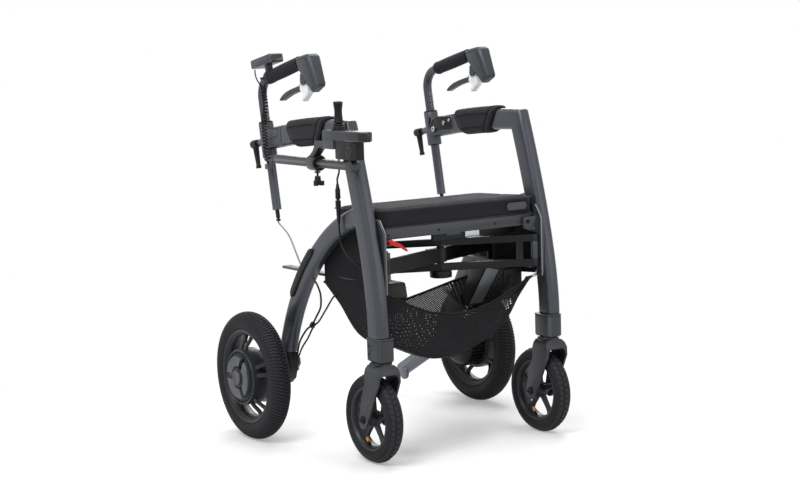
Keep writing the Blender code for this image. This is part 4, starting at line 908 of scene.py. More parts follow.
@dataclass
class SideFrame(OneSide):
    """Bent tubes, castings, hinge plate, axle bracket and tipping bar of one side."""

    arm_steps: int = 16
    leg_steps: int = 30
    guard_span: tuple[float, float] = (0.4, 0.665)

    def front_path(self) -> list[Vector]:
        """Armrest from the casting forwards to the mitred corner, and down the front leg."""
        return stretch(ARM_CURVE, ARM_SPLIT, 0.9, self.arm_steps) + stretch(
            FRONT_CURVE, 0.0, 1.0, self.leg_steps)

    def tubes(self) -> None:
        """Front leg with its armrest, and the rear leg with its cable guard."""
        section = round_section(TUBE_WIDE / 2, TUBE_DEEP / 2, TUBE_CORNER)
        front = loft(f"front_tube_{self.tag}", sweep(self.front_path(), section, self.x), PAINT)
        rounded(front, 0.0042, 4, 38.0)
        carried(front, self.body, f"front_leg_{self.tag}")
        leg_section = round_section(LEG_WIDE / 2, LEG_DEEP / 2, 0.011)
        path = stretch(REAR_CURVE, 0.035, REAR_END, 36)
        rear = loft(f"rear_tube_{self.tag}", sweep(path, leg_section, self.x), PAINT, angle=50.0)
        carried(rear, self.body, f"rear_leg_{self.tag}")
        carried(self.guard(), self.body)

    def guard(self) -> Piece:
        """Dark guard over the cable's way into the rear leg, on the leg's outer face."""
        steps = 20
        path = stretch(REAR_CURVE, *self.guard_span, steps)
        rings = []
        s = self.hand
        face = self.x + s * LEG_WIDE / 2
        for i, spot in enumerate(path):
            way = (path[min(i + 1, steps)] - path[max(i - 1, 0)]).normalized()
            across = Vector((-way.y, way.x))
            if across.x < 0:
                across = -across
            full = sin(min(1.0, (min(i, steps - i) + 0.3) / 1.8) * pi / 2)
            rings.append([
                Vector((face + s * (a + 0.0005), *(spot + across * (0.0105 + b))))
                for a, b in round_section(0.004, 0.0095 * full, 0.0028, 3)])
        return loft(f"cable_guard_{self.tag}", rings, NYLON, angle=50.0)

    def hardware(self) -> None:
        """Castings, plates, bracket and bar, from the CAD's shapes with their edges rounded."""
        tag = self.tag
        refined(f"post_clamp_{tag}", CAST, 0.003, 4, 32.0)
        refined(f"leg_collar_{tag}", SATIN, 0.0012, 3)
        refined(f"side_plate_{tag}", GREY_COAT, 0.0007)
        refined(f"axle_bracket_{tag}", POWDER, 0.0015, 3)
        refined(f"tipping_bar_{tag}", ANODISED, 0.0008)

    def trim(self) -> None:
        """Collar band and screws, plate edge strip, the casting's pocket darkened by a plate on
        its floor as painted shade, and its cover, axle mark.
        """
        s = self.hand
        x = s * STEER_X
        rings = [
            [Vector((x + a, STEER_Y + b, level))
            for a, b in round_section(0.0202 + grow, 0.0292 + grow, 0.01)]
            for level, grow in ((0.2884, 0.0), (0.289, 0.0012), (0.2916, 0.0012), (0.2922, 0.0))]
        strip = mm(
            (-290.5, 386), (-290.5, 520.5), (-285.5, 532), (-269, 553.5), (-267.2, 552),
            (-283, 531), (-287.4, 520), (-287.4, 386))
        pocket = mm(
            (170, 722), (162, 739), (140, 749), (78, 751), (72, 745), (72, 724), (80, 717),
            (125, 713), (150, 704), (166, 708))
        cover = mm(
            (180, 744), (112, 748), (106, 742), (106, 734), (112, 729), (172, 715), (179, 718))
        inner = s * (INNER_X - GAP)
        face = s * (SIDE_X - TUBE_WIDE / 2)
        outer = s * (SIDE_X + TUBE_WIDE / 2)
        floor = face - s * 0.0006
        rim = [Vector((floor, *spot)) for spot in pocket + pocket[:2]]
        self.carry("fittings", [
            loft("band", rings, SATIN, angle=50.0),
            *(socket_screw("collar_screw", (x + s * 0.019, STEER_Y + 0.016, z), (s, 0, 0), 0.0031)
              for z in (0.2541, 0.2729)),
            slab("edge_strip", strip, "x", inner - s * 0.0066, inner - s * 0.0048, STRIP,
                 0.0004, 2),
            # Dark plate on the pocket's floor: painted shade in the recess
            slab("pocket_floor", pocket, "x", face + s * 0.0004, floor, NYLON, 0.0003, 2),
            tube_along("pocket_rim", rim, 0.0013, CAST),
            *(socket_screw("casting_bolt", (floor, y, z), (-s, 0, 0), radius, ZINC)
              for y, z, radius in mm((154, 717, 7.2), (108, 734, 5.6), (85, 742, 4.4))),
            slab("cover_shade", inset(cover, 0.001), "x", outer - s * 0.0024,
                 outer - s * 0.0016, BLACK_SCREW),
            slab("cover_plate", inset(cover, 0.0028), "x", outer - s * 0.0022,
                 outer - s * 0.0004, CAST, 0.0008, 2),
            box("axle_mark", (s * 0.2285 - 0.0012, 0.101, 0.16),
                (s * 0.2285 + 0.0012, 0.1075, 0.166), YELLOW, 0.0005)])

    def build(self) -> None:
        """Build the whole side."""
        self.tubes()
        self.hardware()
        self.trim()


def socket_screw(name: str, spot: Point, way: Point, radius: float,
        finish: Finish = BLACK_SCREW) -> Piece:
    """Round screw head with a sunk socket, its foot at spot."""
    high = radius * 0.62
    profile = [
        (-0.0008, radius * 0.96), (high * 0.8, radius), (high, radius * 0.86),
        (high, radius * 0.5), (high * 0.45, radius * 0.46), (high * 0.45, 0.00002)]
    return lathe(name, profile, spot, way, finish, 18)


@dataclass
class ArmPad(OneSide):
    """Padded sleeve wrapped round the armrest tube, sewn from two panels."""

    share: tuple[float, float] = (0.288, 0.712)
    lean: float = 0.55
    steps: int = 44

    def section(self, at: float, grow: float = 0.0) -> Outline:
        """The sleeve's outline at a share of its length, fuller in the middle."""
        end = min(at, 1 - at) * 11
        full = sqrt(max(0.0, 1 - (1 - min(1.0, end)) ** 2))
        band = exp(-((at - 0.845) * self.steps / 1.1) ** 2)
        wide = 0.002 + 0.0042 * full - 0.0013 * band + grow
        deep = 0.0022 + 0.005 * full - 0.0013 * band + grow
        return round_section(TUBE_WIDE / 2 + wide, TUBE_DEEP / 2 + deep, 0.0165, 8)

    def path(self) -> tuple[list[Vector], list[float]]:
        """The tube's centre line under the sleeve, and how far each ring leans."""
        path = stretch(ARM_CURVE, *self.share, self.steps)
        leans = [
            self.lean * max(-1.0, min(1.0, (0.5 - i / self.steps) * 5.0))
            for i in range(self.steps + 1)]
        return path, leans

    def ring(self, at: float, grow: float = 0.0) -> Ring:
        """One closed line round the sleeve."""
        path, leans = self.path()
        i = round(at * self.steps)
        return sweep(path, self.section(at, grow), self.x, leans)[i]

    def seam(self, corner: int, start: float, end: float) -> list[Vector]:
        """A line along the sleeve on one point of its section."""
        first, last = round(start * self.steps), round(end * self.steps)
        return [self.ring(i / self.steps, 0.0004)[corner] for i in range(first, last + 1)]

    def build(self) -> None:
        """Build the sleeve, its bindings and its seams."""
        path, leans = self.path()
        outer = [self.ring(i / self.steps) for i in range(self.steps + 1)]
        bore = round_section(TUBE_WIDE / 2 + GAP, TUBE_DEEP / 2 + GAP, TUBE_CORNER, 8)
        inner = sweep(path, bore, self.x, leans)
        pad = loft(
            f"arm_sleeve_{self.tag}", outer + inner[::-1], WEAVE, closed=True, angle=60.0,
            cloth=True)
        carried(pad, self.body, f"arm_pad_{self.tag}")
        pieces = []
        for at, grow, radius, sides in (
                (0.0, 0.0004, 0.0022, 10), (1.0, 0.0004, 0.0022, 10),
                (37 / self.steps, 0.001, 0.001, 8)):
            line = self.ring(at, grow)
            pieces.append(tube_along("binding", line + line[:2], radius, WEBBING, sides))
        for corner in (0, 17, 18, 35):
            line = self.seam(corner, 0.06, 0.8)
            pieces.append(tube_along("piping", line, 0.0009, WEBBING))
            lift = Vector((0, 0, 0.003 if corner in (0, 17) else -0.003))
            pieces.append(stitched("stitches", [p + lift for p in line], THREAD))
        self.carry("arm_trim", pieces)


# Wheels

@dataclass
class DriveWheel(OneSide):
    """Rim with paired spokes, ribbed tyre and the hub motor inside it."""

    rides: ClassVar[str] = "drive_wheel"
    track: float = 0.332
    y: float = 0.145
    radius: float = 0.155
    wide: float = 0.055
    rim: float = 0.1115
    ridges: int = 116
    ridge_high: float = 0.0026

    @property
    def centre(self) -> Vector:
        """Middle of the wheel."""
        return Vector((self.hand * self.track, self.y, self.radius))

    def skin(self, turn: float, lift: float = 0.0) -> tuple[float, float]:
        """A point of the tyre's outline: how far across, and its radius."""
        crown = self.radius - self.ridge_high
        across = (self.wide / 2 - self.ridge_high * 0.5 + lift * 0.5) * cos(turn)
        return across, 0.1265 + (crown + lift - 0.1265) * sin(turn) ** 0.8

    def tyre(self) -> None:
        """Carcass of the tyre with two rows of slanted cross ridges and a bead line."""
        profile = [
            (-0.02, self.rim), (-0.0212, 0.1138), (-0.0228, 0.115), (-0.0222, 0.1168),
            (-0.0238, 0.12)]
        profile += [self.skin(pi * (1 - i / 16)) for i in range(17)]
        profile += [
            (0.0238, 0.12), (0.0222, 0.1168), (0.0228, 0.115), (0.0212, 0.1138), (0.02, self.rim)]
        step = 2 * pi / self.ridges
        self.carry("tyre", [
            lathe("tyre", profile, self.centre, (self.hand, 0, 0), TYRE, 96, closed=True),
            *(ringed(f"ridges_{k}", self.ridge(hand), self.ridges, self.centre, TYRE,
                     k * 0.5 * step) for k, hand in enumerate((1, -1)))], "drive_tyre")

    def ridge(self, hand: int) -> Piece:
        """One cross ridge from the tyre's middle down over its shoulder, about the origin."""
        rings = []
        steps = 6
        for i in range(steps + 1):
            at = i / steps
            turn = radians(88 - 80 * at)
            thin = 0.0021 if i in (2, 4) else 0.0027
            thin *= 1.0 - 0.35 * at
            slide = 0.0062 * at - (0.0016 if i % 2 else 0.0)
            high = self.ridge_high * (1 - 0.45 * at)
            ring = []
            for b, lift in ((-1, -0.001), (-0.62, high), (0.62, high), (1, -0.001)):
                across, reach = self.skin(turn, lift)
                ring.append(Vector((hand * across, slide + b * thin, reach)))
            rings.append(ring)
        return loft("ridge", rings, TYRE, angle=20.0)

    def rim_and_spokes(self) -> None:
        """Double-lipped rim, ring round the motor and five pairs of spokes."""
        s, out = self.hand, (self.hand, 0, 0)
        profile = mm(
            (-20.8, 114), (-21.5, 112.5), (-20.8, 109), (-18, 104.5), (-12, 99.5), (0, 97.5),
            (12, 99.5), (16.5, 103.5), (16.8, 105.2), (19, 106.5), (20.8, 109), (21.5, 112.5),
            (20.8, 114), (19.5, 111.8), (-19.5, 111.8))
        rim = lathe("rim", profile, self.centre, out, RIM, 96, closed=True)
        ring = lathe(
            "ring", mm((-6, 61.2), (34, 61.2), (36, 62.5), (36.5, 65), (34, 67.2), (6, 69),
            (-6, 68)), self.centre, out, RIM, 72, closed=True)
        parts = [rim, ring]
        for k in (-1, 1):
            beside = 0.0095 * k
            rings = [
                [Vector((s * along + a, beside * wider + b, reach))
                for a, b in round_section(0.0042, 0.0048, 0.0018, 3)]
                for along, wider, reach in (
                    (0.024, 1.0, 0.062), (0.02, 1.1, 0.075), (0.01, 1.35, 0.09),
                    (0.006, 1.7, 0.101))]
            parts.append(ringed(f"spokes_{k}", loft("spoke", rings, RIM), 5, self.centre, RIM))
        parts += valve(self.centre, s, 0.097, 0.078)
        self.carry("rim", parts, "drive_rim")

    def motor(self) -> None:
        """Hub motor: ribbed drum, axle, three-part cover and its round cap."""
        s, out = self.hand, (self.hand, 0, 0)
        drum = lathe(
            "drum", mm((-100.5, 5), (-100, 6), (-76.2, 6), (-76.2, 15.5), (-68, 16), (-67, 40),
            (-64, 46), (-54, 53.5), (-48, 55), (-10, 55), (-4, 60), (30, 60.6), (34, 60),
            (35.5, 58), (36.2, 55), (36.2, 20)), self.centre, out, NYLON, 72)
        collar = mm((36, 25.5), (42.5, 25), (44, 23.5), (44, 19), (36, 19))
        cap = mm((36, 18.5), (46, 18), (47.6, 16.5), (48, 14.5), (47.2, 12), (47, 2))
        self.carry("motor", [
            drum,
            ringed("cover", self.cover_leaf(), 3, self.centre, HUB_COVER, radians(30 * s)),
            lathe("collar", collar, self.centre, out, NYLON, 48),
            lathe("cap", cap, self.centre, out, HUB_COVER, 48),
            ringed("ribs", self.rib(-0.05, -0.012, 0.054, 0.0592, 0.0011), 36, self.centre, NYLON),
            ringed("teeth", self.rib(0.03, 0.0368, 0.056, 0.0612, 0.0017), 30, self.centre, NYLON)
            ], "hub_motor")

    def rib(self, start: float, end: float, low: float, high: float, half: float) -> Piece:
        """One rib or tooth of the drum, about the origin."""
        s = self.hand
        rings = [
            [Vector((s * along, b, reach))
            for b, reach in ((-half, low), (half, low), (half * 0.7, high), (-half * 0.7, high))]
            for along in (start, end)]
        return loft("rib", rings, NYLON, angle=20.0)

    def cover_leaf(self) -> Piece:
        """One of the three leaves of the motor's cover, about the origin."""
        s = self.hand
        rings = []
        for along, swell in ((0.0345, 0.0), (0.0425, -0.0002), (0.044, -0.0014)):
            arc = [(0.0515 + swell, radians(-52 + 104 * i / 16)) for i in range(17)]
            arc += [(0.0265 - swell, radians(44 - 88 * i / 8)) for i in range(9)]
            rings.append([Vector((s * along, r * sin(t), r * cos(t))) for r, t in arc])
        return loft("leaf", rings, HUB_COVER, angle=30.0)

    def build(self) -> None:
        """Build the wheel."""
        self.tyre()
        self.rim_and_spokes()
        self.motor()


def valve(centre: Vector, out: float, far: float, near: float) -> list[Piece]:
    """Valve stem that leans out of a rim, with its amber cap."""
    sign = 1 if far > 0 else -1
    stem = rod(
        "valve", centre + Vector((out * 0.004, 0.012, far)),
        centre + Vector((out * 0.012, 0.009, near)), 0.0026, BLACK_SCREW, 14)
    cap = rod(
        "cap", centre + Vector((out * 0.0118, 0.0091, near + sign * 0.001)),
        centre + Vector((out * 0.0155, 0.0078, near - sign * 0.009)), 0.0036, AMBER, 14, 0.001)
    return [stem, cap]


@dataclass
class Caster(OneSide):
    """Swivelling fork, spoked rim and tyre of one front wheel."""

    rides: ClassVar[str] = "caster_wheel"
    radius: float = 0.102
    wide: float = 0.042
    blocks: int = 48

    @property
    def centre(self) -> Vector:
        """Middle of the wheel."""
        return Vector((self.hand * STEER_X, STEER_Y + TRAIL, self.radius))

    def tyre(self) -> None:
        """Round tyre whose tread blocks leave a zigzag groove between them."""
        half = self.wide / 2
        crown = self.radius - 0.0014
        profile = mm((-15, 71.6), (-16.5, 74.5), (-18, 75.8), (-17.8, 77.5))
        for i in range(15):
            turn = pi * (1 - i / 14)
            profile.append((half * cos(turn), 0.0815 + (crown - 0.0815) * sin(turn) ** 0.8))
        profile += mm((17.8, 77.5), (18, 75.8), (16.5, 74.5), (15, 71.6))
        parts = [lathe("tyre", profile, self.centre, (1, 0, 0), TYRE, 96, closed=True)]
        pitch = 2 * pi / self.blocks
        for k, (along, wide, long, sunk, skew, phase) in enumerate((
                (0.0, 0.0095, 0.0092, 0.0018, 0.35, 0.0), (0.011, 0.0088, 0.01, 0.0056, 0.5, 0.5),
                (-0.011, 0.0088, 0.01, 0.0056, -0.5, 0.5))):
            unit = self.block(along, wide, long, self.radius - sunk, skew)
            parts.append(ringed(
                f"blocks_{k}", unit, self.blocks, self.centre, TYRE, phase * pitch))
        self.carry("small_tyre", parts, "caster_tyre")

    def block(self, along: float, wide: float, long: float, foot: float, skew: float) -> Piece:
        """One low tread block about the origin."""
        turn = Matrix.Rotation(along * 45.0, 3, "Y")
        rings = [
            [turn @ Vector((a, b + a * skew, level)) + Vector((along, 0, foot))
            for a, b in round_section(wide / 2 * grow, long / 2 * grow, 0.0012, 1)]
            for grow, level in ((1.0, -0.003), (0.9, 0.0017))]
        return loft("block", rings, TYRE, angle=20.0)

    def rim(self) -> None:
        """Rim, hub and five flat spokes."""
        ring = lathe(
            "ring", mm((-15.8, 74), (-16.6, 72.5), (-16, 69), (-12, 65.5), (0, 63.5), (12, 65.5),
            (16, 69), (16.6, 72.5), (15.8, 74), (14.5, 71.7), (-14.5, 71.7)), self.centre,
            (1, 0, 0), RIM, 80, closed=True)
        hub = lathe(
            "hub", mm((-25.3, 4.8), (-25.3, 9), (-22, 12), (-14, 13.5), (-10, 17.5), (10, 17.5),
            (14, 13.5), (22, 12), (25.3, 9), (25.3, 4.8)), self.centre, (1, 0, 0), RIM, 40,
            closed=True)
        rings = [
            [Vector((a, b, reach)) for a, b in round_section(thick, wide, 0.0025, 3)]
            for reach, wide, thick in mm((13, 10, 5), (22, 7.8, 4.4), (45, 6.6, 3.8),
            (58, 7.8, 4.2), (66.5, 12.5, 6))]
        spokes = ringed("spokes", loft("spoke", rings, RIM), 5, self.centre, RIM)
        strip = lathe(
            "rim_tape", mm((-5, 64.6), (-4.5, 63), (4.5, 63), (5, 64.6)), self.centre, (1, 0, 0),
            RIM, 80, closed=True)
        parts = [ring, hub, spokes, strip, *valve(self.centre, -1.0, -0.064, -0.052)]
        self.carry("small_rim", parts, "caster_rim")

    def fork(self) -> None:
        """Fork with rounder edges, and its axle bolts sunk in the blades."""
        refined(f"caster_fork_{self.tag}", SATIN, 0.0022, 4, 35.0)
        pieces = []
        for s in (-1, 1):
            spot = self.centre + Vector((s * 0.031, 0, 0))
            pieces.append(lathe(
                "recess", mm((0, 9.8), (1.6, 9.8), (2.2, 9), (2.2, 7.6), (0, 7.6)), spot,
                (s, 0, 0), BLACK_SCREW, 28, closed=True))
            pieces.append(socket_screw(
                "axle_bolt", spot + Vector((s * 0.004, 0, 0)), (s, 0, 0), 0.0052))
        self.carry("axle_bolts", pieces, body="caster")

    def build(self) -> None:
        """Build the caster."""
        self.tyre()
        self.rim()
        self.fork()


# Handles

@dataclass
class Handle(OneSide):
    """Post with its bend, grip, brake housing and levers of one side."""

    rides: ClassVar[str] = "handle"
    tube_r: float = 0.011
    bend_r: float = 0.045
    tip: float = 0.235

    def tube(self) -> None:
        """Round post and bend in one tube, with index holes on its front."""
        foot, corner = Vector(POST_FOOT), Vector(POST_CORNER)
        tip = corner + Vector(GRIP_WAY) * self.tip
        path = [
            foot, foot.lerp(corner, 0.3), foot.lerp(corner, 0.6),
            *bend(foot, corner, tip, self.bend_r, 18), tip]
        tube = loft("tube", sweep(path, circle(self.tube_r, 32), self.x), PAINT, angle=50.0)
        way = Vector((0, post_way().z, -post_way().y))
        hole = mm((-0.1, 3.4), (0.7, 2.9), (0.5, 0.6))
        edge = mm((-0.3, 4), (0.4, 4), (0.4, 3.3), (-0.3, 3.3))
        pieces = [tube]
        for i in range(3):
            spot = post_spot(self.side, 0.774 + 0.015 * i, -self.tube_r) - way * 0.0004
            pieces += [
                lathe("hole", hole, spot, way, BLACK_SCREW, 20),
                lathe("hole_edge", edge, spot, way, ZINC, 20, closed=True)]
        self.carry("post", pieces, "handle_tube")
        refined(f"post_bush_{self.tag}", NYLON, 0.0005)

    def grip(self) -> None:
        """Foam grip, slightly fuller in the palm, with a raised lip at each end."""
        profile = mm((58, 11.3), (58, 14.5), (59.2, 15.8), (62, 16.4))
        for i in range(13):
            share = i / 12
            profile.append((0.066 + 0.126 * share, 0.0156 + 0.0008 * sin(pi * share)))
        profile += mm((196, 16), (198.2, 15.6), (199, 14.5), (199, 11.3))
        grip = lathe(
            f"foam_{self.tag}", profile, (self.x, *POST_CORNER), (0, *GRIP_WAY), FOAM, 48,
            closed=True)
        carried(grip, self.body, f"grip_{self.tag}")

    def tapered(self, piece: Piece) -> Piece:
        """Draw a plate's width in downwards, as the brake housing's is."""
        for corner in piece.data.vertices:
            share = min(1.0, max(0.0, (0.905 - corner.co.z) / 0.065))
            corner.co.x = self.x + (corner.co.x - self.x) * (1 - 0.36 * share)
        return piece

    def brake(self) -> None:
        """Brake housing with its inset side panels, a dark strip round each panel as painted shade
        in its groove, and dark nose.
        """
        refined(f"brake_housing_{self.tag}", ABS, 0.003, 4, 30.0)
        panel = mm((4, 907.5), (-32, 915), (-62.5, 852), (-50.5, 844), (-43, 846), (0, 889))
        pieces = []
        for s in (-1, 1):
            level = self.x + s * 0.0165
            # Under each panel a slightly wider black strip: painted shade in the groove round it
            for name, outline, thick, finish, soften, steps in (
                    ("gasket", inset(panel, -0.0011), 0.0008, BLACK_SCREW, 0.0002, 1),
                    ("side_panel", panel, 0.0015, ABS, 0.0005, 2)):
                plate = slab(name, outline, "x", level, level + s * thick, finish, soften, steps)
                pieces.append(self.tapered(plate))
        nose = [Vector((-0.0478, 0.9135)), Vector((-0.0768, 0.8565))]
        way = (nose[1] - nose[0]).normalized()
        out = Vector((way.y, -way.x))
        rings = []
        for lift, grow in ((-0.002, 0.0), (0.0004, 0.0), (0.0009, -0.0006)):
            ring = []
            for a, b in ((-1, 0), (1, 0), (1, 1), (-1, 1)):
                spot = nose[b] + out * lift + way * grow * (1 if b else -1)
                half = (0.0122, 0.0078)[b] + grow
                ring.append(Vector((self.x + a * half, spot.x, spot.y)))
            rings.append(ring)
        pieces.append(rounded(loft("nose_panel", rings, NYLON, angle=20.0), 0.0004, 2))
        self.carry("brake_panels", pieces)
        self.lever()
        refined(f"clamp_lever_{self.tag}", NYLON, 0.0014, 3, 35.0)

    def lever(self) -> None:
        """Brake lever: dark moulded arm on a pale root piece."""
        lever = refined(f"brake_lever_{self.tag}", ABS, 0.0016, 3, 30.0)
        root = 0.0105
        parted(lever, [((0, root, 0), (0, 1, 0))], [FROSTED], lambda spot: int(spot.y < root))
        collar = slab(
            f"lever_collar_{self.tag}", mm((9.5, 837.2), (11.8, 836.8), (11.8, 853), (9.5, 853.5)),
            "x", self.x - 0.0089, self.x + 0.0089, NYLON, 0.0005, 2)
        carried(collar, f"brake_{self.tag}")

    def build(self) -> None:
        """Build the handle."""
        self.tube()
        self.grip()
        self.brake()


def inset(outline: Sequence[Point], distance: float) -> Outline:
    """Move an outline's corners towards its middle, or away where distance is negative."""
    middle = sum((Vector(p) for p in outline), Vector((0, 0))) / len(outline)
    moved = []
    for p in outline:
        away = Vector(p) - middle
        moved.append(tuple(middle + away * (1 - distance / away.length)))
    return moved


# Joystick, display and electric parts

def parted(piece: Piece, cuts: Sequence[tuple[Point, Point]], finishes: Sequence[Finish],
        choose: Callable[[Vector], int]) -> None:
    """Cut a piece's faces along planes and give each region its own finish.

    Args:
        piece: the piece.
        cuts: a point and a direction of each plane.
        finishes: the finishes after the one that it has.
        choose: gives the number of the finish at a face's middle.
    """
    for finish in finishes:
        piece.data.materials.append(finish.material())
    shape = bmesh.new()
    shape.from_mesh(piece.data)
    for spot, way in cuts:
        everything = [*shape.verts, *shape.edges, *shape.faces]
        bmesh.ops.bisect_plane(shape, geom=everything, plane_co=spot, plane_no=way)
    for face in shape.faces:
        face.material_index = choose(face.calc_center_median())
    shape.to_mesh(piece.data)
    shape.free()


@dataclass
class Joystick:
    """Rod under the right armrest with the joystick's collar, housing, gaiter and stick."""

    rod_x: float = -0.272
    rod_z: float = 0.677
    stick_x: float = -0.2785
    stick_y: float = -0.203
    nose_y: float = -0.252

    def rod(self) -> None:
        """Square rod with a bright strip let into its outer face."""
        refined("mount_rod", SATIN, 0.0014, 3)
        x = self.rod_x - 0.0095
        strip = box(
            "rod_strip", (x - 0.0003, -0.23, self.rod_z - 0.003),
            (x + 0.0012, 0.088, self.rod_z + 0.003), ANODISED, 0.0002)
        carried(strip, "frame_right")

    def collar(self) -> None:
        """Collar with its web, black front ring and three-lobed screw."""
        refined("rod_clamp", SATIN, 0.0018, 3)
        ring = lathe(
            "collar_ring", mm((-100, 18.3), (-104.6, 18.3), (-105.2, 17.6), (-105.2, 14.2),
            (-100, 14.2)), (self.rod_x, 0, self.rod_z), (0, 1, 0), NYLON, 40, closed=True)
        carried(ring, "joystick")
        refined("thumbscrew", NYLON, 0.001, 3)

    def housing(self) -> None:
        """Grey rear block, polished nose band, black lower box and two small buttons."""
        piece = refined("joystick_housing", ABS, 0.0016, 3)

        def region(spot: Vector) -> int:
            if 0.7334 < spot.z < 0.7545 and spot.y < self.nose_y:
                return 1
            if spot.z < 0.7334 and spot.y < self.nose_y + 0.045:
                return 2
            return 0

        parted(
            piece, [((0, self.nose_y, 0), (0, 1, 0)), ((0, 0, 0.7545), (0, 0, 1)),
            ((0, 0, 0.7334), (0, 0, 1)), ((0, self.nose_y + 0.045, 0), (0, 1, 0))], [GLOSS, NYLON],
            region)
        pieces = []
        for k, y in enumerate((-0.242, -0.26)):
            pieces.append(lathe(
                "button", mm((0, 5.2), (1, 5.2), (1.6, 4.4), (1.7, 0.1)),
                (self.stick_x - 0.005 + 0.006 * k, y, 0.7556), (0, 0, 1), NYLON, 24))
        seam = [(self.stick_x + a, -0.2455 + b) for a, b in round_section(0.0158, 0.0428, 0.009)]
        pieces.append(slab("seam", seam, "z", 0.7318, 0.7326, BLACK_SCREW))
        ring = lathe(
            "cap_ring", mm((0, 10.6), (3, 10.4), (3.4, 9.8), (3.4, 9.2), (0, 9.2)),
            (self.stick_x - 0.014, -0.268, 0.711), (-1, 0, 0), ABS, 40, closed=True)
        pieces.append(ring)
        carried(joined("joystick_details", pieces), "joystick")

    def stick(self) -> None:
        """Ribbed gaiter and the waisted knob."""
        foot = Vector((self.stick_x, self.stick_y, 0.756))
        refined(
            "joystick_gaiter", CABLE, 0.0005, 2, 50.0,
            ("gimbal", "stick", tuple(foot), tuple(foot + Vector((0, 0, 0.016)))))
        profile = mm(
            (753, 5), (772.2, 5), (772.5, 11.2), (773.5, 11.5), (776, 10.7), (780, 10), (786, 9.3),
            (792, 8.8), (798, 8.7), (803, 9), (808, 9.7), (812, 10.4), (816, 10.8), (818.2, 10.6),
            (819.6, 9.6), (820, 7.8), (819, 6.6))
        knob = lathe(
            "joystick_knob", profile, (self.stick_x, self.stick_y, 0), (0, 0, 1), NYLON, 40,
            angle=50.0)
        carried(knob, "stick", "joystick_stick")

    def build(self) -> None:
        """Build the joystick."""
        self.rod()
        self.collar()
        self.housing()
        self.stick()


@dataclass
class Electrics:
    """Display unit, battery pack and motor controller."""

    def display(self) -> None:
        """Display box with a dark window on its front part and a painted highlight on its lower
        bevel.
        """
        refined("display_unit", DISPLAY, 0.0016, 3)
        way = Vector((0, -0.982, 0.187)).normalized()
        up = Vector((0, way.z, -way.y))
        middle = Vector((-SIDE_X, 0.175, 0.907))
        pieces = []
        lift = 0.0108
        for name, low, high, half, finish in (
                ("window", 0.013, 0.044, 0.015, GLOSS), ("key", -0.04, -0.006, 0.011, ABS)):
            rings = [
                [middle + way * ((low + high) / 2 + b) + Vector((a, 0, 0)) + up * level
                for a, b in round_section(half + grow, (high - low) / 2 + grow, 0.0022, 4)]
                for level, grow in ((lift - 0.0015, 0.0), (lift, 0.0), (lift + 0.0003, -0.0005))]
            pieces.append(loft(name, rings, finish, angle=40.0))
        pieces.append(lathe(
            "grip_ring", mm((44, 16.3), (57, 16.3), (57, 15.9), (44, 15.9)),
            (-SIDE_X, *POST_CORNER), (0, *GRIP_WAY), NYLON, 36, closed=True))
        carried(joined("display_details", pieces), "handle_right")

    def battery(self) -> None:
        """Battery with a pale stripe along its slope, a dark cheek and two rows of contacts."""
        refined("battery_pack", NYLON, 0.003, 3)
        stripe = mm((-164, 398.5), (-214, 398.5), (-142, 313), (-89, 301))
        pieces = [slab("pale_stripe", stripe, "x", 0.15, 0.1482, STRIPE, 0.0005, 2)]
        edge = mm((-160, 400.5), (-106, 400.5), (-48, 311), (-85, 299))
        pieces.append(slab("cheek", edge, "x", 0.1502, 0.149, NYLON, 0.0004, 2))
        for i in range(6):
            y, z = -0.225 + 0.01 * i, 0.393 - 0.01 * i
            for k in range(2):
                low = Vector((y + 0.0065 * k - 0.002, z - 0.014 * k))
                pieces.append(box(
                    "contact", (0.1478, low.x, low.y), (0.1502, low.x + 0.0032, low.y + 0.005),
                    ABS, 0.0005))
        carried(joined("battery_details", pieces), "frame_left")

    def controller(self) -> None:
        """Motor controller with its cooling fins and a lid seam."""
        refined("controller_box", OLIVE, 0.003, 3)
        fin = mm((-244, 369), (-229, 334), (-227.5, 334.6), (-242.5, 369.6))
        seam = mm((-239.5, 390), (-141, 390), (-140.5, 388.5), (-240, 388.5))
        pieces = []
        for i in range(7):
            x = -0.198 + 0.0095 * i
            pieces.append(slab("fin", fin, "x", x - 0.0012, x + 0.0012, OLIVE))
        pieces.append(slab("lid_seam", seam, "x", -0.2055, -0.1347, BLACK_SCREW))
        carried(joined("controller_details", pieces), "frame_right")

    def build(self) -> None:
        """Build the electric parts."""
        self.display()
        self.battery()
        self.controller()


# Seat and folding cross

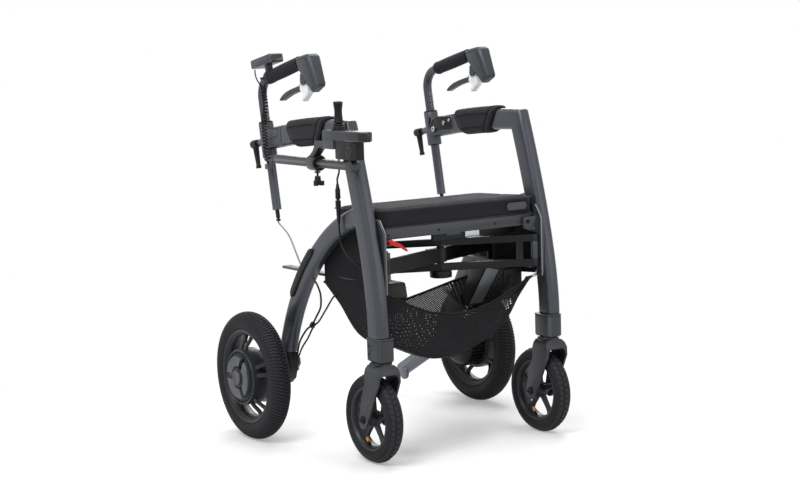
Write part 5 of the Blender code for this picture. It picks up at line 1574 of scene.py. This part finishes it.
@dataclass
class Seat:
    """Cushion on its board, with the rails, latch bracket and blank badge."""

    front: float = -0.275
    back: float = -0.05
    half: float = 0.2145
    low: float = 0.5323
    high: float = 0.576
    fall: float = 0.009
    corner: float = 0.013
    cap: float = 0.005

    def blank(self) -> Piece:
        """The cushion's cut shape before it is filled."""
        rings = [
            self.outline(draw, draw, share, 0.002)
            for share, draw in ((0.0, 0.0045), (0.1, 0.0022), (0.5, 0.003), (0.9, 0.0022),
            (1.0, 0.005))]
        return loft("cushion", rings, WEAVE, angle=60.0)

    def outline(self, draw_x: float, draw_y: float, share: float, below: float = 0.0) -> Ring:
        """A level line round the cushion.

        Args:
            draw_x: how far it is drawn in at the sides.
            draw_y: how far it is drawn in at the front and the rear.
            share: its height, as a share of the cushion's.
            below: how much lower the cushion's top is taken.

        Returns:
            Its points.
        """
        middle, half_y = (self.front + self.back) / 2, (self.back - self.front) / 2
        line = []
        for a, b in round_section(self.half - draw_x, half_y - draw_y, self.corner):
            high = self.high - below - self.fall * (b + half_y) / (2 * half_y)
            line.append(Vector((a, middle + b, self.low + (high - self.low) * share)))
        return line

    def filled(self, piece: Piece) -> Piece:
        """Let cloth swell over the foam, up to the cap, with a flat front and clear sides."""
        remesh = piece.modifiers.new("cells", "REMESH")
        remesh.mode = "VOXEL"
        remesh.voxel_size = 0.005
        baked(piece)
        before = [v.co.copy() for v in piece.data.vertices]
        step = piece.modifiers.new("cloth", "CLOTH")
        step.settings.use_pressure = True
        step.settings.uniform_pressure_force = 4.0
        step.settings.quality = 5
        step.settings.tension_stiffness = 40
        step.settings.effector_weights.gravity = 0.0
        step.point_cache.frame_start, step.point_cache.frame_end = 1, 20
        for number in range(1, 21):
            bpy.context.scene.frame_set(number)
        baked(piece)
        bpy.context.scene.frame_set(1)
        for vertex, rest in zip(piece.data.vertices, before):
            move = vertex.co - rest
            if move.length > self.cap:
                vertex.co = rest + move.normalized() * self.cap
        for vertex in piece.data.vertices:
            x, y, z = vertex.co
            vertex.co = (
                max(-self.half, min(self.half, x)), max(self.front, min(self.back, y)),
                max(self.low, z))
        subdivided(piece)
        shade(piece, 80.0)
        return piece

    def cushion(self) -> None:
        """Filled cushion with piping round its top and bottom edges and the blank badge."""
        piece = self.filled(self.blank())
        piece.name = "cushion"
        carried(piece, "seat", "seat_cushion")
        trims = []
        for share, radius in ((0.94, 0.0011), (0.05, 0.001)):
            line = self.outline(0.0035, 0.0032, share)
            trims.append(tube_along("piping", line + line[:2], radius, PIPING))
        rings = [
            [Vector((0.159 + a, self.front + level, 0.5545 + b))
            for a, b in round_section(0.0285 + grow, 0.0088 + grow, 0.0087 + grow)]
            for level, grow in ((0.0015, 0.0), (-0.0006, 0.0), (-0.0012, -0.0007))]
        trims.append(loft("badge", rings, BADGE, angle=40.0))
        trim = joined("cushion_trim", trims)
        carried(trim, "seat")
        for soft in (piece, trim):
            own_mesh(soft)

    def frame(self) -> None:
        """Board, latch bracket, rail under it, screws and the red release lever."""
        refined("seat_panel", GREY_COAT, 0.0008)
        pieces = [
            box("latch_plate", (0.04, -0.2316, 0.487), (0.08, -0.23, 0.52), SILVER, 0.0004),
            box("latch_lip", (0.04, -0.24, 0.487), (0.08, -0.23, 0.4886), ZINC, 0.0004),
            box("under_rail", (-0.05, -0.229, 0.4868), (0.185, -0.22, 0.525), POWDER, 0.0008)]
        for x in (-0.198, -0.06, 0.1):
            pieces.append(socket_screw("rail_screw", (x, -0.268, 0.5175), (0, -1, 0), 0.0026))
        carried(joined("seat_fittings", pieces), "seat")
        refined("release_lever", RED, 0.0012, 3)
        pivot = socket_screw("catch_screw", (-0.2046, -0.277, 0.5), (0, -1, 0), 0.0036)
        carried(pivot, "catch")
        bolt = socket_screw("seat_pivot_bolt", (0.19, -0.2748, 0.5155), (0, -1, 0), 0.0048)
        carried(bolt, "frame_left")

    def build(self) -> None:
        """Build the seat."""
        self.frame()
        self.cushion()


@dataclass
class Cross:
    """Folding cross arms with their centre pin's cap and head."""

    centre: tuple[float, float] = (0.0, -0.1845)

    def build(self) -> None:
        """Build both arms and their fittings."""
        refined("cross_arm_double", POWDER, 0.0009)
        refined("cross_arm_single", POWDER, 0.0009)
        x, y = self.centre
        profile = mm(
            (393.5, 18), (393.5, 23.5), (394.5, 25.8), (400, 26.2), (406, 26.2), (408.5, 25),
            (408.5, 18))
        cap = lathe("pin_cap", profile, (x, y, 0), (0, 0, 1), NYLON, 48, closed=True)
        head = lathe(
            "pin_head", mm((486.2, 13), (488.5, 13), (490, 11.8), (490.2, 2)), (x, y, 0),
            (0, 0, 1), ZINC, 32)
        carried(joined("pin_fittings", [cap, head]), "cross_double")


# Basket

def read_off(table: Sequence[Point], at: float) -> float:
    """Read a value off a table of (place, value) rows, straight between two rows."""
    if at <= table[0][0]:
        return table[0][1]
    for (x0, v0), (x1, v1) in zip(table, table[1:]):
        if at <= x1:
            share = (at - x0) / (x1 - x0)
            return v0 + (v1 - v0) * share
    return table[-1][1]


@dataclass
class Basket:
    """Net bag slung between the side frames, with the cloth that closes each side frame.

    The tables give heights across the bag for its front rim, its front foot and its rear rim.
    """

    right: float = -(INNER_X - GAP)
    left: float = 0.189
    front: float = -0.283
    back: float = -0.026
    seam: float = 0.39
    round_r: float = 0.016
    stations: int = 54
    front_rim: Table = tuple(mm(
        (-225.2, 390), (-182, 369), (-155, 354), (-101, 333), (-44, 322), (-3, 320.5), (40, 325),
        (74, 335), (113, 350), (142, 363), (189, 385)))
    front_foot: Table = tuple(mm(
        (-225.2, 273), (-208, 268), (-159, 249), (-118, 230), (-87, 221.5), (-49, 219), (8, 230),
        (66, 249), (111, 277), (132, 300), (153, 333), (189, 383)))
    rear_rim: Table = tuple(mm(
        (-225.2, 390), (-160, 365), (-100, 345), (-50, 329), (0, 321.5), (58, 333), (103, 343),
        (149, 353), (189, 360)))
    rise: Table = (
        (-0.22, 0.0), (-0.19, 0.02), (-0.157, 0.12), (-0.128, 0.32), (-0.099, 0.57),
        (-0.052, 0.84), (-0.026, 1.0))

    def fold(self, x: float, share: float) -> float:
        """How far the front draws in: long folds that run to the upper left corner."""
        towards = max(0.0, (x + 0.02) / 0.21)
        wave = sin(share * 9.0 + towards * 3.0) * towards * (1 - towards) * 2.2
        hang = sin(pi * min(1.0, max(0.0, share)))
        return 0.0055 * hang + 0.003 * max(-0.6, wave)

    def column(self, x: float) -> list[Vector]:
        """The cloth's line at one place across: down the front, along the floor, up the back."""
        top, foot = read_off(self.front_rim, x), read_off(self.front_foot, x)
        line = []
        radius = min(self.round_r, (top - foot) * 0.45)
        for i in range(9):
            share = i / 9
            z = top + (foot + radius - top) * share
            line.append(Vector((x, self.front + self.fold(x, share), z)))
        for i in range(5):
            turn = pi / 2 * i / 4
            line.append(Vector((
                x, self.front + radius * (1 - cos(turn)), foot + radius * (1 - sin(turn)))))
        end = read_off(self.rear_rim, x)
        start = self.front + radius
        for i in range(1, 19):
            y = start + (self.back - start) * i / 18
            z = foot + (end - foot) * read_off(self.rise, y)
            line.append(self.under_battery(Vector((x, y, z)), end))
        return line

    @staticmethod
    def under_battery(spot: Vector, end: float) -> Vector:
        """Behind its front the bag's left end passes below the battery, then climbs to end."""
        drop = max(0.0, min(1.0, (spot.y + 0.267) / 0.027))
        share = drop * max(0.0, min(1.0, (spot.x - 0.105) / 0.03))
        climb = max(0.0, min(1.0, (spot.y + 0.07) / 0.044))
        low = 0.286 + (end - 0.286) * climb
        reach = min(1.0, (0.022 + (spot.y + 0.24) * 0.66) / 0.064)
        x = spot.x if spot.x < 0.125 else 0.125 + (spot.x - 0.125) * (1 - drop * (1 - reach))
        return Vector((x, spot.y, spot.z * (1 - share) + min(spot.z, low) * share))

    @staticmethod
    def cloth(name: str, lines: Sequence[Ring], finish: Finish, uvs: dict | None = None) -> Piece:
        """Cloth through rows of equally many points."""
        rows = len(lines[0])
        faces = [
            (i * rows + k, (i + 1) * rows + k, (i + 1) * rows + k + 1, i * rows + k + 1)
            for i in range(len(lines) - 1) for k in range(rows - 1)]
        return mesh_object(name, chain.from_iterable(lines), faces, finish, uvs, 80.0)

    def net(self, columns: Sequence[Ring]) -> Piece:
        """The bag's cloth, with its right wall up to the seam."""
        rows = len(columns[0])
        lines = [[Vector((self.right, p.y, self.seam + (p.z - self.seam) * (1 - k / 6)))
            for p in columns[0]] for k in range(6, 0, -1)] + list(columns)
        uvs = {}
        across = 0.0
        for i, line in enumerate(lines):
            if i:
                across += (line[rows // 2] - lines[i - 1][rows // 2]).length
            along = 0.0
            for k, spot in enumerate(line):
                if k:
                    along += (spot - line[k - 1]).length
                uvs[i * rows + k] = (across, along)
        return self.cloth("basket_net", lines, NET, uvs)

    def side_cloth(self, side: Side, low: Sequence[Point]) -> None:
        """Cloth that closes a side frame between its front leg and its rear leg.

        Args:
            side: the side frame.
            low: (y, z) points of the cloth's lower edge, from the front to the rear.
        """
        x = side.value * (INNER_X - GAP - 0.0006)
        count = 24
        rings = []
        for i in range(count + 1):
            share = i / count
            y = low[0][0] + (low[-1][0] - low[0][0]) * share
            foot = read_off(low, y)
            head = read_off(self.leg_line(), y)
            bulge = 0.0035 * sin(pi * share)
            rings.append([
                Vector((x - side.value * bulge * sin(pi * k / 8), y,
                foot + (max(head, foot + 0.002) - foot) * k / 8)) for k in range(9)])
        cloth = self.cloth(f"side_cloth_{side.tag}", rings, PANEL)
        self.thickened(cloth, 0.001)
        carried(cloth, f"frame_{side.tag}")
        hem = [ring[0] for ring in rings]
        stitches = stitched(
            f"seam_{side.tag}", [p + Vector((-side.value * 0.0009, 0, 0.003)) for p in hem],
            THREAD, 0.005, 0.0034)
        trim = joined(f"side_hem_{side.tag}", [tube_along("hem", hem, 0.0014, WEBBING), stitches])
        carried(trim, f"frame_{side.tag}")
        points = list(chain.from_iterable(rings))
        f"rear_leg_{side.tag}"
        f"front_leg_{side.tag}"

    @staticmethod
    def extent(points: Sequence[Vector], axis: int) -> float:
        """How far points spread along one axis."""
        values = [p[axis] for p in points]
        return max(values) - min(values)

    @staticmethod
    def leg_line() -> Outline:
        """The rear leg's underside as (y, z) rows, a little inside the leg."""
        rows = []
        for i in range(31):
            share = 0.02 + 0.62 * i / 30
            way = curve_way(REAR_CURVE, share)
            spot = curve_at(REAR_CURVE, share) - Vector((-way.y, way.x)) * (LEG_DEEP / 2 - 0.014)
            rows.append((spot.x, spot.y))
        return rows

    @staticmethod
    def thickened(cloth: Piece, thickness: float) -> None:
        """Give cloth its thickness and round its mesh once."""
        subdivided(cloth)
        wall = cloth.modifiers.new("wall", "SOLIDIFY")
        wall.thickness = thickness
        wall.offset = 0.0
        baked(cloth)
        shade(cloth, 80.0)

    def build(self) -> None:
        """Build the bag, its hems and the cloth of both side frames."""
        columns = [
            self.column(self.right + (self.left - self.right) * i / self.stations)
            for i in range(self.stations + 1)]
        net = self.net(columns)
        self.thickened(net, 0.0009)
        carried(net, "frame_left", "basket")
        front, rear = [line[0] for line in columns], [line[-1] for line in columns]
        corner = front[-1]
        strap = [
            corner, corner + Vector((0.018, 0.001, 0.004)),
            Vector((INNER_X - 0.006, -0.28, 0.395))]
        trim = joined("basket_trim", [
            tube_along("front_hem", front, 0.0032, WEBBING, 10),
            tube_along("rear_hem", rear, 0.003, WEBBING, 10),
            tube_along("end_hem", columns[-1], 0.0026, WEBBING, 10),
            stitched("hem_stitches", [p + Vector((0, -0.0012, -0.0055)) for p in front], THREAD),
            tube_along("strap", strap, 0.0022, WEBBING),
            rod("strap_ring", corner + Vector((0.004, -0.001, 0.001)),
                corner + Vector((0.016, 0, 0.004)), 0.0032, ZINC, 16, 0.0008)])
        carried(trim, "frame_left")
        for soft in (net, trim):
            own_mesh(soft)
        self.side_cloth(Side.RIGHT, mm((-260, 390), (-30, 390)))
        self.side_cloth(Side.LEFT, mm((-260, 390), (-100, 380), (-30, 380)))


# Cords

@dataclass
class Cords:
    """Brake cables, joystick cable, motor cables and the curly cord."""

    @staticmethod
    def length(line: Sequence[Vector]) -> float:
        """Length of a line through points."""
        return sum((b - a).length for a, b in zip(line, line[1:]))

    def run(self, name: str, line: Sequence[Vector], radius: float, finish: Finish,
            body: str | tuple, nodes: Sequence[str] = (),
            sides: int = 14) -> None:
        """One cord as a mesh tube.

        Args:
            name: the piece's name.
            line: points of its centre line, from its exit.
            radius: its radius.
            finish: its sheath.
            nodes: CAD nodes that it stands for.
            sides: sides of the tube.
        """
        cord = tube_along(name, line, radius, finish, sides)
        if isinstance(body, str):
            carried(cord, body, *nodes)
        else:
            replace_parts(cord, *nodes)
            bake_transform(cord)

    def brake_cable(self, side: Side) -> None:
        """Cable from the foot of the post to the rear leg, with its ferrule and ball."""
        x = side.value * SIDE_X
        share = 0.545
        way = curve_way(REAR_CURVE, share)
        surface = curve_at(REAR_CURVE, share) + Vector((-way.y, way.x)) * (LEG_DEEP / 2 + 0.0024)
        foot = Vector((x, *POST_FOOT))
        route = [
            foot - post_way() * 0.026, (x, 0.147, 0.517), (x, 0.1198, 0.5027), (x, 0.0946, 0.484),
            (x, surface.x - way.y * 0.02, surface.y + way.x * 0.02), (x, surface.x, surface.y)]
        down = -post_way()
        profile = mm(
            (0.3, 5), (19, 5), (20, 4.4), (20.5, 3), (21.5, 3), (22.5, 4.8), (24.5, 6), (26.8, 5),
            (28, 2.8))
        head = lathe(f"cable_ferrule_{side.tag}", profile, foot, down, NYLON, 24, angle=50.0)
        carried(head, f"handle_{side.tag}")
        out = Vector((0, -way.y, way.x))
        end = Vector((x, surface.x, surface.y))
        boot = lathe(
            f"cable_boot_{side.tag}", mm((-2, 5), (1.5, 4.6), (9, 3.4), (9.5, 2.7)), end, out,
            NYLON, 20, angle=50.0)
        carried(boot, f"frame_{side.tag}")
        inside = [foot + post_way() * 0.085, foot + post_way() * 0.03, foot - post_way() * 0.01]
        self.run(
            f"brake_cable_line_{side.tag}", inside + smooth_line(route, 6), 0.0021, GREY_CABLE,
            f"frame_{side.tag}", [f"brake_cable_{side.tag}"])

    def joystick_cable(self) -> None:
        """Cable from the joystick down to the controller, with its in-line connector."""
        route = mm(
            (-264, -168, 713.7), (-264, -168, 708), (-259.8, -168, 695), (-259.8, -168, 662),
            (-265.5, -168, 644), (-265.5, -168, 633), (-265.5, -168, 600), (-265.5, -168, 570),
            (-265.5, -168, 540), (-265, -169, 520), (-263, -174, 492), (-259, -193, 468),
            (-245, -212, 450), (-228, -216, 438), (-213, -215, 427), (-196, -210, 416),
            (-188, -209, 408), (-188, -209, 402.7))
        spot = (-0.2655, -0.168, 0.0)
        upper = mm(
            (633, 2.4), (632, 3), (623, 4.4), (620, 5.5), (619, 5.8), (600, 6), (598.8, 5.7),
            (598.5, 3.8))
        lower = mm(
            (598.5, 3.8), (595, 3.8), (594.8, 6), (593.8, 6.4), (588, 6.4), (587.5, 5.9),
            (586, 5.9), (585.5, 6.4), (581, 6.4), (580, 5.8), (579.8, 4.4), (578.2, 4.4),
            (577.8, 5.4), (560, 4.6), (542, 3), (541, 2.4))
        for name, profile in (("connector_plug", upper), ("connector_socket", lower)):
            plug = lathe(name, profile, spot, (0, 0, 1), NYLON, 28, angle=40.0)
            carried(plug, "frame_right")
        self.run(
            "joystick_cable_line", smooth_line(route, 4), 0.0021, CABLE,
            ("frame_right", "joystick", (-0.264, -0.168, 0.665), (-0.264, -0.168, 0.712)),
            ["joystick_cable"])

    def motor_cables(self) -> None:
        """Supply cable and sensor cable of the right motor, tied together on the way."""
        share = 0.535
        way = curve_way(REAR_CURVE, share)
        under = curve_at(REAR_CURVE, share) - Vector((-way.y, way.x)) * (LEG_DEEP / 2 + 0.0026)
        x = -0.236
        first = [
            (x, under.x, under.y), (x, under.x + way.y * 0.012, under.y - way.x * 0.012),
            *mm((-236, -26, 360), (-236, -24, 330), (-236, -2, 304), (-236, 18, 283),
            (-236, 47, 266), (-236, 80, 233), (-236, 95.5, 196))]
        second = mm(
            (-195, -135.8, 380), (-199, -128, 381.5), (-212, -108, 380.5), (-229, -80, 364),
            (-236, -50, 329), (-236, -15, 296), (-236, 12, 279), (-236, 40, 248), (-236, 70, 220),
            (-236, 95, 186))
        tie = lathe(
            "cable_tie", mm((-4.8, 5.6), (-4.5, 7), (4.5, 7), (4.8, 5.6)), (x, 0.016, 0.2825),
            (0, 0.65, -0.76), NYLON, 24)
        carried(tie, "frame_right")
        self.run(
            "motor_supply_cable", smooth_line(first, 6), 0.0023, CABLE, "frame_right",
            ["motor_cable"])
        self.run("motor_sensor_cable", smooth_line(second, 6), 0.0021, CABLE, "frame_right")

    def curly_cord(self) -> None:
        """Curly cord from the display unit, along the post and past the casting, to its lug."""
        coil_r, wire_r, curls, per_turn = 0.006, 0.0016, 24, 12
        lead = smooth_line(
            mm((-257.5, 208.5, 886.8), (-258, 208, 879), (-257.5, 202, 864), (-254, 194, 852)), 4)
        line = smooth_line(
            mm((-248.5, 186.5, 842), (-248, 184.5, 822), (-248, 180.5, 800), (-256, 173, 776),
            (-269, 152, 754), (-269.5, 150, 700), (-270, 144, 684), (-270, 144, 673)), 4)
        centres = even_points(line, curls * per_turn)
        coil = []
        for i, centre in enumerate(centres):
            turn = 2 * pi * i / per_turn
            along = (centres[min(i + per_turn, len(centres) - 1)] - centres[max(i - per_turn, 0)])
            across = Vector((0, 1, 0)).cross(along).normalized()
            beside = along.normalized().cross(across)
            coil.append(centre + (across * cos(turn) + beside * sin(turn)) * coil_r)
        end = Vector((-0.267, 0.1435, 0.6623))
        self.run(
            "curly_cord_line", lead + coil + [end + Vector((0, 0, 0.0045)), end], wire_r, CABLE,
            ("bush_right", "handle_right", tuple(end), (-0.2575, 0.2085, 0.88)), ["curly_cord"],
            sides=8)

    def build(self) -> None:
        """Build every cord."""
        for side in Side:
            self.brake_cable(side)
        self.joystick_cable()
        self.motor_cables()
        self.curly_cord()


def even_points(line: Sequence[Vector], count: int) -> list[Vector]:
    """Points at equal steps along a line."""
    reach = [0.0]
    for one, other in zip(line, line[1:]):
        reach.append(reach[-1] + (other - one).length)
    found, k = [], 0
    for i in range(count + 1):
        want = reach[-1] * i / count
        while k < len(line) - 2 and reach[k + 1] < want:
            k += 1
        found.append(line[k].lerp(line[k + 1], (want - reach[k]) / (reach[k + 1] - reach[k])))
    return found


# Studio

@dataclass
class Studio:
    """Camera at the photograph's place, floor, backdrop and soft lamps."""

    spot: tuple[float, float, float] = (-2.366, -3.606, 0.996)
    yaw: float = 33.37
    pitch: float = -7.22
    roll: float = -1.77
    focal_px: float = 1788.7
    centre_y: float = 246.39

    def camera(self) -> None:
        """Place the camera that took the photograph."""
        yaw, pitch, roll = (radians(v) for v in (self.yaw, self.pitch, self.roll))
        ahead = Vector((sin(yaw) * cos(pitch), cos(yaw) * cos(pitch), sin(pitch)))
        right = Vector((cos(yaw), -sin(yaw), 0.0))
        up = right.cross(ahead)
        across = right * cos(roll) + up * sin(roll)
        above = up * cos(roll) - right * sin(roll)
        data = bpy.data.cameras.new("camera")
        data.sensor_width = 36.0
        data.lens = self.focal_px * data.sensor_width / 800
        data.shift_y = (self.centre_y - 250) / 800
        data.clip_end = 60.0
        camera = placed("camera", data)
        turn = Matrix((across, above, -ahead)).transposed()
        camera.matrix_world = Matrix.Translation(self.spot) @ turn.to_4x4()
        bpy.context.scene.camera = camera

    def floor(self) -> None:
        """Pale floor that shows white to the camera further off and keeps the shadow."""
        mesh = bpy.data.meshes.new("floor")
        reach = 14.0
        mesh.from_pydata(
            [(-reach, -reach, 0), (reach, -reach, 0), (reach, reach, 0), (-reach, reach, 0)], [],
            [(0, 1, 2, 3)])
        floor = placed("floor", mesh)
        made = bpy.data.materials.new("matt_white_floor")
        made.use_nodes = True
        tree = made.node_tree
        shader = tree.nodes["Principled BSDF"]
        fed(
            tree, shader, {"Base Color": linear("FAFAFA"), "Roughness": 0.85,
            "Specular IOR Level": 0.1})
        glow = add(tree, "Emission", {"Color": linear("FFFFFF"), "Strength": 1.0})
        spot = add(tree, "TexCoord").outputs["Object"]
        away = add(tree, "VectorMath", {0: spot}, operation="LENGTH").outputs["Value"]
        far = add(tree, "MapRange", {0: away, 1: 0.6, 2: 1.25, 3: 0.3, 4: 1.0})
        share = add(tree, "Math", {0: seen_directly(tree), 1: far}, operation="MULTIPLY")
        mixed = add(tree, "MixShader", {0: share, 1: shader, 2: glow})
        fed(tree, tree.nodes["Material Output"], {0: mixed})
        mesh.materials.append(made)

    def lamps(self) -> None:
        """Large soft lamps: strong from above, weaker from the front and the rear."""
        for name, spot, aim, size, power in (
                ("key", (-2.4, -1.4, 3.2), (0, 0, 0.5), 1.8, 102.0),
                ("fill", (1.6, -3.6, 1.6), (0, 0, 0.4), 2.2, 16.0),
                ("top", (0.3, 0.3, 3.4), (0, 0, 0.4), 2.4, 95.0),
                ("rear", (2.2, 2.6, 2.0), (0, 0, 0.5), 1.8, 45.0)):
            data = bpy.data.lights.new(name, "AREA")
            data.shape = "SQUARE"
            data.size = size
            data.energy = power
            lamp = placed(name, data)
            lamp.location = spot
            lamp.rotation_euler = (Vector(aim) - Vector(spot)).to_track_quat("-Z", "Y").to_euler()

    def world(self) -> None:
        """Even pale surroundings, white behind the object."""
        world = bpy.data.worlds.new("studio")
        bpy.context.scene.world = world
        world.use_nodes = True
        tree = world.node_tree
        tree.nodes.clear()
        soft = add(tree, "Background", {"Color": linear("F4F6F8"), "Strength": 0.25})
        white = add(tree, "Background", {"Color": linear("FFFFFF"), "Strength": 1.0})
        mixed = add(tree, "MixShader", {0: seen_directly(tree), 1: soft, 2: white})
        add(tree, "OutputWorld", {0: mixed})

    def build(self) -> None:
        """Build the studio."""
        self.camera()
        self.floor()
        self.lamps()
        self.world()
        bpy.context.scene.view_settings.view_transform = "Standard"


def seen_directly(tree: Tree) -> Node:
    """One for camera, mirror and see-through rays, and nought for the light on the object."""
    rays = add(tree, "LightPath").outputs
    some = add(
        tree, "Math", {0: rays["Is Camera Ray"], 1: rays["Is Transmission Ray"]},
        operation="MAXIMUM")
    return add(tree, "Math", {0: some, 1: rays["Is Glossy Ray"]}, operation="MAXIMUM")


def main() -> None:
    """Build every sub-assembly in order and report each."""
    logging.basicConfig(level=logging.INFO, format="%(message)s")
    parts = [Studio(), Cords()]
    for side in Side:
        parts += [SideFrame(side), ArmPad(side), DriveWheel(side), Caster(side), Handle(side)]
    parts += [Joystick(), Electrics(), Seat(), Cross(), Basket()]
    for part in parts:
        part.build()
        LOG.info("built %s", type(part).__name__)


if __name__ == "__main__":
    main()
